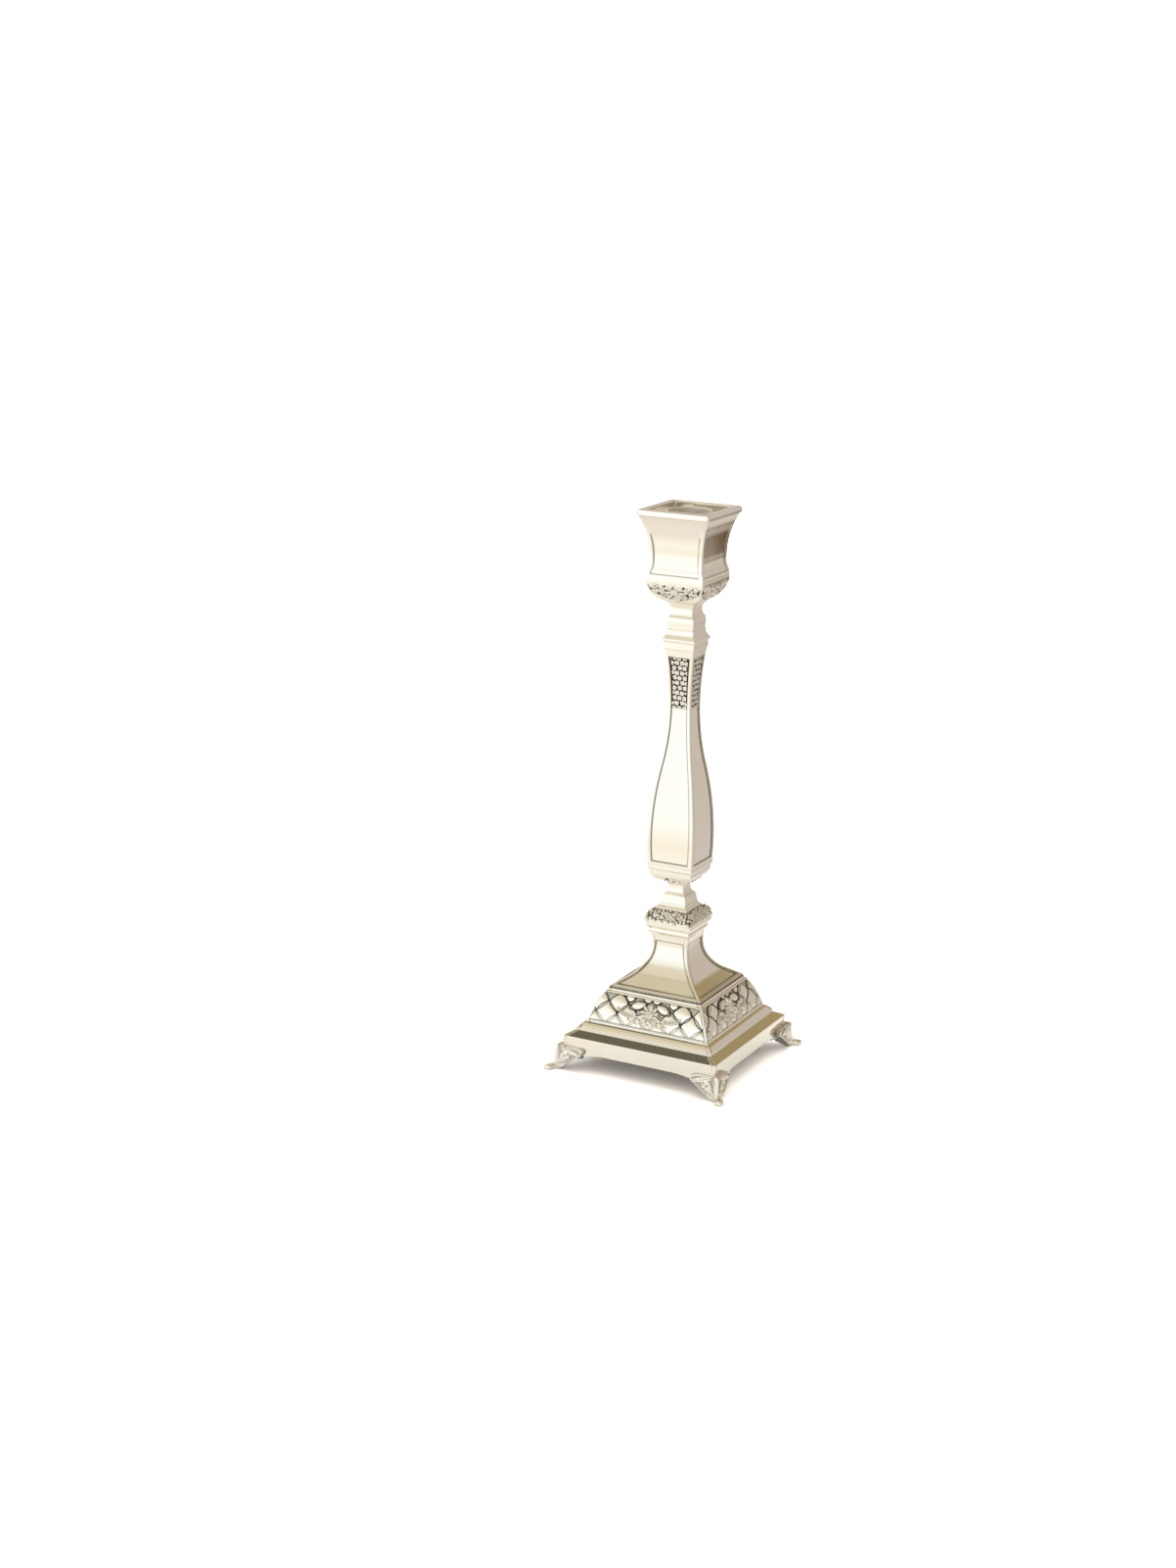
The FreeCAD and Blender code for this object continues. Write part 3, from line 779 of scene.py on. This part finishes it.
def plaque_height(X, Y, length):
    """A close diaper of small four-petalled flowers. The real plaque is pierced between the petals; here
    that ground is only low, and plaques() paints it dark as shade.
    """
    height = np.zeros(X.shape)
    pitch = length / DIAPER_ROWS
    for row in range(DIAPER_ROWS + 1):
        offset = 0.5 if row % 2 else 0.0
        for column in range(-3, 3):
            uneven = math.sin(1.7 * row + 2.3 * column)
            x, y = (column + offset + 0.06 * uneven) * DIAPER, (row + 0.05 * uneven) * pitch
            petals = flower(X, Y, x, y, 1.5, 4, 0.9, 45 + 22 * uneven)
            height = highest(height, petals, bead(X, Y, x, y, 0.45, 1.0))
    for row in range(0, DIAPER_ROWS + 1, 2):
        height = highest(height, bead(np.abs(X), Y, DIAPER, (row + 1) * pitch, 0.6, 0.8))
    return height


def plaques():
    X, H, Z, _ = strip(BALUSTER_OUTLINE[9:], 0.5, PLAQUE_SPAN, PLAQUE_BORDER, 200, 90)
    Y = Z - Z[0, 0]
    height = plaque_height(X, Y, Y[-1, 0])
    # painted shade: the low ground between the petals goes nearly black as if pierced, and a dark strip
    # runs beside each plaque's sides
    oxide_and_shade = np.clip(1.45 - 2.3 * height, 0.03, 1) + 0.6 * hollows(height, 5, 0.4)
    shaded_sides = np.abs(X) > 0.88 * X.max(1, keepdims=True)
    oxide_and_shade = np.maximum(oxide_and_shade, 0.9 * shaded_sides * (Y > 3.0))
    front = np.stack([X, -(H - PLAQUE_SINK + 0.1 + 0.75 * height), Z], -1)
    back = np.stack([X, -(H - PLAQUE_SINK), Z], -1)
    plates("plaque_relief_", front, back, np.clip(oxide_and_shade, 0, 1), "stem_plaque_")


def neck():
    storey("neck_casting", soften(bored(NECK_OUTLINE), 0.2), "neck", polished, (0.0, 0.5), 6, 0.3)


# ---- cup

CUP_BORDER, CUP_PANEL = 2.4, (266.8, 290.9)
CUP_FOOT = 6.35  # half the width where the cup stands on the neck
GARLAND = (249.6, 264.6)


def swag(x):
    """How much higher the garland hangs x mm from the middle of a side."""
    return 6.4 * (x / 14.0) ** 1.5


def garland_height(X, Y):
    """Leaves and flowers that hang in a swag under the cup, Y mm up the surface from the neck."""
    spots = packed(14.2, lambda x: 7.2 + swag(x), lambda x: 16.2 - 0.05 * x, 2.05)
    height = highest(florets(X, Y, spots, 1.2, 1.2), flower(X, Y, 0, 12.6, 2.4, 6, 1.35, 30))
    for u in (-X, X):
        leaves = [leaf(u, Y, *place, 1.2, veins=4) for place in (
            (1.6, 11.6, -48, 4.6, 2.0), (1.8, 13.6, 36, 3.8, 1.9), (1.8, 12.4, -4, 4.2, 1.9),
            (8.2, 13.8, -30, 4.2, 1.9), (8.4, 15.0, 34, 3.4, 1.8), (0.4, 10.4, -82, 4.4, 2.0))]
        height = highest(
            height,
            flower(u, Y, 6.9, 14.2, 1.9, 5, 1.3, 18),
            flower(u, Y, 12.4, 15.4, 1.6, 5, 1.2, 54),
            *leaves)
    return height


def cup_relief(face):
    """The garland, and a panel on each side whose walls run out towards the rim."""
    half, z = face.half[:, 0], face.z[:, 0]
    foot = face.along[np.argmin(np.abs(half - CUP_FOOT) + np.abs(z - NECK_TOP))][0]
    outer = (face.along > foot) & (face.along <= face.along[np.argmax(z)][0])
    inside = panel(face, CUP_BORDER, CUP_PANEL[0], ABOVE_ALL) * outer
    inside = inside * step_up(-face.z, -CUP_PANEL[1] - 1, -282.0)
    start = face.along[np.argmin(np.abs(z - NECK_TOP) + 9 * (1 - outer[:, 0]))][0]
    X, Y = face.x, face.along - start
    field = outer * (face.z < 266.0) * step_up(face.edge, 0.9, 1.5)
    height = garland_height(X, Y) * (1 + 0.22 * chased(X, Y)) * field
    scallop = 15.6 + 0.8 * np.cos(2 * math.pi * X / 5.2)
    low = 5.9 + swag(np.abs(X))
    ground = field * step_up(Y - low, 0.0, 1.0) * step_up(scallop - Y, 0, 0.7)
    # oxide and painted shade on the garland's sunk ground and in its hollows; the panels' wall lines
    # darken higher up and fade out below the rim
    oxide_and_shade = ground * np.clip(1.0 - 1.3 * height, 0.05, 1) + 0.8 * hollows(height, 5, 0.3) * ground
    strength = (0.45 + 0.55 * step_up(face.z, 268.0, 276.0)) * step_up(-face.z, -289.0, -286.0)
    line = panel_wall_oxide_and_shade(face, CUP_BORDER, CUP_PANEL[0], ABOVE_ALL) * outer * strength
    oxide_and_shade = np.maximum(np.clip(oxide_and_shade, 0, 1), line)
    return height - 0.35 * ground - PANEL_SINK * inside, oxide_and_shade


def cup():
    outside, inside = expand(CUP_OUTLINE), expand(CUP_INSIDE)
    loop = np.vstack([[[BORE, CUP_FLOOR], [BORE, NECK_TOP]], outside, inside])
    loop = soften(loop, 0.25)
    top = np.argmax(loop[:, 1])
    outer, inner = divide(loop[:top + 1], *GARLAND, 0.17), divide(loop[top:], 0, 0, 0.17)
    loop = np.vstack([with_levels(outer, panel_levels(*CUP_PANEL)), inner[1:]])
    storey("cup_casting", loop, "cup_shell", polished, panel_columns(CUP_BORDER), 130, 0.4, cup_relief)


# ---- nozzle

RIM_THICK, TRAY_HALF, TRAY_DEPTH, TRAY_WALL, TRAY_SHEET = 3.5, 16.6, 4.6, 0.6, 1.0
CANDLE_R, WELL_WALL, WELL_DEPTH, WELL_LIP = 11.1, 1.2, 22.0, 1.4


def nozzle_rim():
    """Square outside and round at the hole in the tray's floor, in one closed surface."""
    floor, under = HEIGHT - TRAY_DEPTH, HEIGHT - TRAY_DEPTH - TRAY_SHEET
    low = HEIGHT - RIM_THICK
    outer = TRAY_HALF + TRAY_WALL
    square = np.array([
        (TRAY_HALF - 3.0, floor), (TRAY_HALF, floor), (TRAY_HALF, HEIGHT), (RIM_HALF, HEIGHT),
        (RIM_HALF, low), (outer, low), (outer, under), (outer - 3.0, under)])
    softened = [square[:1]]
    for i, reach in enumerate((0.7, 0.6, 1.2, 0.9, 0.3, 0.6), 1):
        softened.append(soften(square[i - 1:i + 2], reach)[1:-1])
    loop = divide(np.vstack(softened + [square[-1:]]), 0, HEIGHT, 1.2)
    face = Face(loop, (0.0, 0.6, 1.2, 2.4), 20, 0.9)
    side = np.stack([face.x, -face.half, face.z], -1)
    corner = rounded_corner(face.half[:, :1] - face.radius, face.radius, face.z[:, :1], (22.5, 45, 67.5))
    quarter = np.concatenate([side] + corner, 1)
    ring = np.concatenate([turned(quarter, k) for k in range(4)], 1)
    hole = ring[0] / np.hypot(ring[0, :, 0], ring[0, :, 1])[:, None] * (CANDLE_R + WELL_WALL)
    edges = [np.column_stack([hole[:, :2], np.full(len(hole), z)])[None] for z in (floor, under)]
    ring = np.concatenate([edges[0], ring, edges[1]], 0)
    faces = grid_faces(ring.shape[0], ring.shape[1], True, True)
    # painted shade: the tray darkens a little near its walls, the deeper down it goes
    depth = step_up(-ring[..., 2], -HEIGHT + 1.5, -floor)
    across = np.abs(ring[..., 0])
    corner = depth * step_up(across, TRAY_HALF - 1.5, TRAY_HALF) * (across < outer)
    to_piece("nozzle_plate", ring, faces, 0.12 * corner, "nozzle", ["nozzle_rim"], nozzle_silver)


def turned_piece(name, loop, around, body, node, material, oxide_and_shade):
    """A closed round piece: the loop of (radius, height) runs once round the solid."""
    angles = np.arange(around) * 2 * math.pi / around
    across, along = np.outer(loop[:, 0], np.sin(angles)), np.outer(loop[:, 0], -np.cos(angles))
    ring = np.stack([across, along, np.repeat(loop[:, 1:], around, 1)], -1)
    faces = capped(len(loop), around)
    to_piece(name, ring, faces, np.repeat(oxide_and_shade, around), body, [node], material)


def candle_well():
    mouth = HEIGHT - WELL_LIP
    floor = mouth - WELL_DEPTH
    outer = CANDLE_R + WELL_WALL
    loop = np.array([
        (2.0, floor - WELL_WALL), (outer, floor - WELL_WALL), (outer, mouth), (CANDLE_R, mouth),
        (CANDLE_R, floor), (2.0, floor)])
    loop = divide(soften(loop, 0.55), 0, HEIGHT, 1.5)
    # painted shade: the inside of the well darkens a little further down
    down = np.clip((mouth - 3 - loop[:, 1]) / WELL_DEPTH, 0, 1)
    depth = down * (loop[:, 0] < CANDLE_R + 0.2) * 0.15
    turned_piece("candle_socket", loop, 128, "nozzle", "candle_well", satin_silver, depth)


# ---- feet

FOOT_TAB, POST_INNER, LEG_INNER, LEG_WALL = 2.2, 34.2, 41.0, 43.4
FOOT_TOP, FOOT_REACH = FOOT_OUTLINE[-1][1], 52.65
TOE_ROOT, TOE_SIDE = 48.6, (46.3, 49.2)  # where the toe leaves the wings, and how narrow it is
FIT = 0.02  # gap between a foot and the skirt


def foot_height(U, Z):
    """Leaves on one wing of a foot, U mm from the corner of the skirt and Z up."""
    return highest(
        leaf(U, Z, 0.4, 12.2, -14, 12.6, 3.2, 1.1, 0.6, 0.5, 5),
        leaf(U, Z, 0.2, 5.0, 68, 6.4, 2.6, 1.2, 0.6, 0.5, 4),
        leaf(U, Z, 0.6, 4.2, 42, 8.0, 2.4, 1.2, 0.6, 0.5, 4),
        leaf(U, Z, -1.6, 3.0, 50, 4.6, 2.2, 1.0, 0.6, 0.5, 3),
        flower(U, Z, 3.4, 9.6, 1.5, 5, 1.3, 90),
        bead(U, Z, 8.2, 10.4, 0.9, 1.1),
        bead(U, Z, 5.4, 7.4, 0.7, 1.0),
        strap(U, Z, [(12.6, 10.6), (11.4, 9.0), (0.8, 1.0)], 1.1, 0.9))


def mirrored(points):
    """Mirrors points in the foot's diagonal."""
    return np.stack([-points[..., 1], -points[..., 0], points[..., 2]], -1)


def foot_wing(rows_z, tip, half, radius):
    """The front wing from its tip to the corner: its points, its oxide and painted shade, and how far
    its end is raised.
    """
    normal = normals_of(np.stack([half, rows_z], 1))
    out, up = normal[:, :1], normal[:, 1:]
    x = tip[:, None] + (half - radius - tip)[:, None] * np.linspace(0, 1, 54)[None, :]
    Z = np.repeat(rows_z[:, None], x.shape[1], 1)
    U = SKIRT_HALF - x
    from_tip = x - tip[:, None]
    height = 0.8 * foot_height(U, Z) * step_up(from_tip, 0.0, 0.3)
    height = height * step_up(Z, 1.0, 2.8) * step_up(FOOT_TOP - Z, 0.0, 0.7)
    rounding = 0.35 * (1 - dome(np.clip(1 - from_tip / 0.35, 0, 1)))
    spine = 0.3 * np.exp(-((half[:, None] - x - 0.7) / 0.6) ** 2) * step_up(12.8 - Z, 0.0, 1.0)
    raised = height + spine - rounding
    toe = step_up(x, *TOE_SIDE)
    surface = np.minimum(half, TOE_ROOT)[:, None] + np.maximum(half - TOE_ROOT, 0.0)[:, None] * toe
    ground = step_up(Z, 3.0, 5.0) * step_up(from_tip, 0.9, 1.5) * step_up(U, -1.6, -0.9)
    # oxide and painted shade on the wing's ground and in the hollows of its leaves
    oxide_and_shade = ground * np.clip(0.45 - 0.8 * height, 0, 1) + 0.55 * hollows(height, 5, 0.4)
    wing = np.stack([x, -(surface + raised * out), Z + raised * up * 0.5], -1)
    return wing, np.clip(oxide_and_shade, 0, 1), raised[:, -1:] * out, raised[:, -1:] * up * 0.5


def foot_inside(rows_z, tip, half):
    """The back of the front wing, in three columns from its tip to the inner corner."""
    low = rows_z <= SKIRT_FOOT
    level = np.maximum(np.where(low, LEG_WALL, SKIRT_HALF + FIT), np.minimum(tip, half - 1.0))
    corner = np.maximum(np.where(low, LEG_INNER, SKIRT_HALF + FIT), np.minimum(tip, half - 1.0))
    columns = []
    for t in (0.0, 0.5, 1.0):
        depth = np.where(t < 1.0, np.minimum(level, half - 0.8), corner)
        columns.append(np.stack([tip + (corner - tip) * t, -depth, rows_z], -1))
    return columns


def foot():
    """The foot at +X, -Y: rows from the sole up, each an L that runs round the corner."""
    edge, outline = expand(WING_EDGE, 0.3), expand(FOOT_OUTLINE, 0.3)
    rows_z = np.concatenate([
        np.linspace(0.0, SKIRT_FOOT, 54), np.linspace(SKIRT_FOOT + FIT, FOOT_TOP, 32)])
    tip = np.interp(rows_z, edge[:, 1], edge[:, 0])
    half = np.interp(rows_z, outline[:, 1], outline[:, 0])
    radius = np.interp(rows_z, (0, 2.8, 4.5), (1.1, 0.9, 0.45))
    wing, oxide_and_shade, outwards, upwards = foot_wing(rows_z, tip, half, radius)
    reach = radius[:, None] + outwards
    bend = rounded_corner((half - radius)[:, None], reach, rows_z[:, None] + upwards, (22.5, 45, 67.5))
    inner = foot_inside(rows_z, tip, half)
    inner_points = [mirrored(column) for column in inner[:-1]] + inner[::-1]
    ring = np.concatenate([wing] + bend + [mirrored(wing)[:, ::-1], np.stack(inner_points, 1)], 1)
    ring = np.clip(ring, (-60, -FOOT_REACH, 0.0), (FOOT_REACH, 60, HEIGHT))
    # the back of the wing, facing the skirt, is painted evenly dark: oxide and painted shade
    values = np.hstack([oxide_and_shade, np.zeros((len(rows_z), len(bend))), oxide_and_shade[:, ::-1],
                        np.full((len(rows_z), len(inner_points)), 0.4)])
    return ring, values


def tab_points():
    """The lug under the skirt that the screw holds."""
    low, high = SKIRT_FOOT - FOOT_TAB, SKIRT_FOOT - FIT
    inner, outer, cut = POST_INNER + 0.4, 44.5, 0.3
    square = [(inner, -inner), (outer, -inner), (outer, -outer), (inner, -outer)]
    middle = (inner + outer) / 2
    rows = []
    for z, shrink in ((low, cut), (low + cut, 0), (high, 0)):
        for x, y in square:
            x += shrink if x < middle else -shrink
            y += shrink if y < -middle else -shrink
            rows.append((x, y, z))
    return np.array(rows)


def feet():
    """Four copies of the foot, each with the lug that goes under the skirt."""
    ring, values = foot()
    tab = tab_points()
    rows, count = ring.shape[:2]
    faces = capped(rows, count) + capped(3, 4, rows * count)
    points = np.concatenate([ring.reshape(-1, 3), tab])
    # the lug under the skirt is painted evenly dark: oxide and painted shade
    oxide_and_shade = np.concatenate([values.ravel(), np.full(len(tab), 0.35)])
    for k, name in enumerate(CORNERS):
        to_piece("foot_casting_" + name, turned(points, k), faces, oxide_and_shade, "stick", ["foot_" + name],
                 foot_silver)


# ---- studio

CAMERA_PLACE = (0.5535, -1.1520, 0.5013)
CAMERA_HEADING, CAMERA_DOWN, CAMERA_ROLL = 27.95, 16.36, 0.93
CAMERA_LENS, SHIFT_X, SHIFT_Y = 57.65, 0.0022, 0.0304


def camera():
    data = bpy.data.cameras.new("camera")
    data.lens, data.sensor_width = CAMERA_LENS, 36.0
    data.shift_x, data.shift_y = SHIFT_X, SHIFT_Y
    data.clip_start = 0.01
    obj = add_object("camera", data)
    turn = Matrix.Rotation(math.radians(CAMERA_HEADING), 4, "Z")
    tilt = Matrix.Rotation(math.radians(90 - CAMERA_DOWN), 4, "X")
    roll = Matrix.Rotation(math.radians(CAMERA_ROLL), 4, "Z")
    obj.matrix_world = Matrix.Translation(CAMERA_PLACE) @ turn @ tilt @ roll
    bpy.context.scene.camera = obj


# What the silver mirrors, as colours by the height in degrees, on the two sides of the studio
LEFT_SKY = [
    (-90, (0.74, 0.70, 0.61)), (-60, (0.84, 0.80, 0.69)), (-53, (0.88, 0.85, 0.78)),
    (-47, (0.94, 0.87, 0.80)), (-42, (0.98, 0.92, 0.86)), (-36, (1.05, 1.01, 0.93)),
    (-29, (1.11, 1.08, 0.98)), (-21, (1.11, 1.09, 1.00)), (-17, (1.08, 1.03, 0.91)),
    (-14, (1.12, 1.12, 1.04)), (-10, (1.17, 1.20, 1.22)), (12, (1.18, 1.22, 1.26)),
    (26, (1.07, 1.10, 1.08)), (32, (1.03, 1.03, 0.95)), (39, (0.86, 0.83, 0.70)),
    (47, (0.85, 0.77, 0.63)), (58, (0.83, 0.76, 0.62)), (62, (0.70, 0.63, 0.47)),
    (90, (0.80, 0.76, 0.64)),
]
RIGHT_SKY = [
    (-90, (0.86, 0.84, 0.80)), (-33, (0.80, 0.78, 0.74)), (-28, (0.69, 0.65, 0.60)),
    (-18, (0.66, 0.61, 0.58)), (-9, (0.64, 0.58, 0.52)), (4, (0.60, 0.535, 0.49)),
    (24, (0.605, 0.54, 0.49)), (27.6, (0.60, 0.53, 0.46)), (29.6, (0.385, 0.30, 0.155)),
    (45, (0.39, 0.31, 0.17)), (60, (0.62, 0.55, 0.42)), (90, (0.80, 0.76, 0.64)),
]
SKY_FULL = 2.0  # the ramps hold shares of this
LEFT_WAY = (-0.8, -0.6, 0.0)  # towards the bright side of the studio
SIDE_BLEND = 0.12  # how gradually the one side becomes the other
DARK_WAY = (-0.416, 0.228, 0.880)  # towards a dark screen overhead
DARK_PATCH = (9.2, 7.6)  # degrees from its middle to its edge, and to where it's full
DARK = (0.15, 0.14, 0.10)
BROWN_WAY = (0.332, 0.8925, -0.303)  # towards a strip of brown wood
BROWN_PATCH = (10.5, 6.8)
BROWN_STARTS = (0.8889, 0.8909)  # how far towards +Y its near edge lies
BROWN = (0.11, 0.05, 0.0)
DIFFUSE_LIGHT = (1.75, 1.61, 1.44)
BACKDROP = (0.62, 0.62, 0.62)
FLOOR_TONE, FLOOR_MIRRORED = (0.93, 0.93, 0.94), (0.49, 0.505, 0.51)
SUN_WAY, SUN_SPREAD, SUN_STRENGTH = (-0.35, 0.30, 1.0), 75, 1.5
FLOOR_NEAR = (0.09, 0.26)  # metres from the stick over which the mirrored floor ends


def ramp(tree, share, bands):
    node = add(tree, "ValToRGB")
    elements = node.color_ramp.elements
    while len(elements) > 1:
        elements.remove(elements[-1])
    for i, (angle, colour) in enumerate(bands):
        place = (angle + 90) / 180
        element = elements[0] if i == 0 else elements.new(place)
        element.position = place
        element.color = tuple(c / SKY_FULL for c in colour) + (1,)
    tree.links.new(share, node.inputs[0])
    return node.outputs[0]


def towards(tree, way, aim):
    """How far the direction leads towards the aim: 1 straight at it, -1 away from it."""
    dot = add(tree, "VectorMath", operation="DOT_PRODUCT")
    tree.links.new(way, dot.inputs[0])
    dot.inputs[1].default_value = aim
    return dot.outputs["Value"]


def patch(tree, way, sky, centre, extent, colour, beyond=None):
    """Puts a round patch of another colour in the sky, or only its part far enough towards +Y."""
    share = fade(tree, towards(tree, way, centre), *np.cos(np.radians(extent)).tolist())
    if beyond:
        cut = fade(tree, towards(tree, way, (0, 1, 0)), *beyond)
        share = math_node(tree, "MULTIPLY", share, cut)
    return blend_colours(tree, share, sky, tuple(c / SKY_FULL for c in colour))


def fade(tree, value, none, full):
    """0 at one value and 1 at the other, smoothly."""
    node = add(tree, "MapRange", interpolation_type="SMOOTHSTEP")
    node.inputs["From Min"].default_value = none
    node.inputs["From Max"].default_value = full
    tree.links.new(value, node.inputs["Value"])
    return node.outputs[0]


def studio_world():
    """A bright side to the left, a dim warm one to the right, a dark screen and a brown strip."""
    world = bpy.data.worlds.new("studio")
    world.use_nodes = True
    bpy.context.scene.world = world
    tree = world.node_tree
    background = tree.nodes["Background"]
    way = add(tree, "TexCoord").outputs["Generated"]
    angle = math_node(tree, "ARCSINE", towards(tree, way, (0, 0, 1)))
    share = math_node(tree, "MULTIPLY_ADD", angle, 1 / math.pi, 0.5)
    side = fade(tree, towards(tree, way, LEFT_WAY), -SIDE_BLEND, SIDE_BLEND)
    sky = blend_colours(tree, side, ramp(tree, share, RIGHT_SKY), ramp(tree, share, LEFT_SKY))
    sky = patch(tree, way, sky, DARK_WAY, DARK_PATCH, DARK)
    sky = patch(tree, way, sky, BROWN_WAY, BROWN_PATCH, BROWN, BROWN_STARTS)
    path = add(tree, "LightPath")
    even = tuple(c / SKY_FULL for c in DIFFUSE_LIGHT)
    lit = blend_colours(tree, path.outputs["Is Diffuse Ray"], sky, even)
    colour = blend_colours(tree, path.outputs["Is Camera Ray"], lit, BACKDROP)
    tree.links.new(colour, background.inputs["Color"])
    background.inputs["Strength"].default_value = SKY_FULL


def floor():
    """A pale disc. Beyond its near part, mirror surfaces see the studio in place of it."""
    radius, around = 6.0, 96
    mesh = bpy.data.meshes.new("floor")
    angles = [2 * math.pi * i / around for i in range(around)]
    rim = [(radius * math.cos(angle), radius * math.sin(angle), 0) for angle in angles]
    mesh.from_pydata(rim, [], [list(range(around))])
    piece = add_object("floor", mesh)
    material = bpy.data.materials.new("pale_floor")
    material.use_nodes = True
    tree = material.node_tree
    shader = tree.nodes["Principled BSDF"]
    path = add(tree, "LightPath").outputs["Is Glossy Ray"]
    tone = blend_colours(tree, path, FLOOR_TONE, FLOOR_MIRRORED)
    tree.links.new(tone, shader.inputs["Base Color"])
    shader.inputs["Roughness"].default_value = 0.8
    shader.inputs["Specular IOR Level"].default_value = 0.0
    away = add(tree, "VectorMath", operation="LENGTH")
    tree.links.new(add(tree, "TexCoord").outputs["Object"], away.inputs[0])
    far = fade(tree, away.outputs["Value"], *FLOOR_NEAR)
    share = math_node(tree, "MULTIPLY", far, path)
    mix = add(tree, "MixShader")
    clear = add(tree, "BsdfTransparent")
    tree.links.new(share, mix.inputs[0])
    tree.links.new(shader.outputs[0], mix.inputs[1])
    tree.links.new(clear.outputs[0], mix.inputs[2])
    tree.links.new(mix.outputs[0], tree.nodes["Material Output"].inputs["Surface"])
    mesh.materials.append(material)


def soft_light():
    """A broad light from the back left. Metal doesn't mirror it."""
    data = bpy.data.lights.new("soft_light", "SUN")
    data.angle, data.energy = math.radians(SUN_SPREAD), SUN_STRENGTH
    obj = add_object("soft_light", data)
    obj.location = SUN_WAY
    obj.rotation_euler = (-obj.location).to_track_quat("-Z", "Y").to_euler()
    obj.visible_glossy = False


def studio():
    camera()
    studio_world()
    floor()
    soft_light()
    bpy.context.scene.view_settings.view_transform = "Standard"


# ---- assembly

base()
trellis()
knop()
waist()
baluster()
plaques()
neck()
cup()
nozzle_rim()
candle_well()
feet()
for hidden in ("tie_rod", "base_washer", "base_nut", "cup_washer", "cup_nut", "foot_screws"):
    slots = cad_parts[hidden].data.materials
    slots.clear()
    slots.append(steel)
studio()
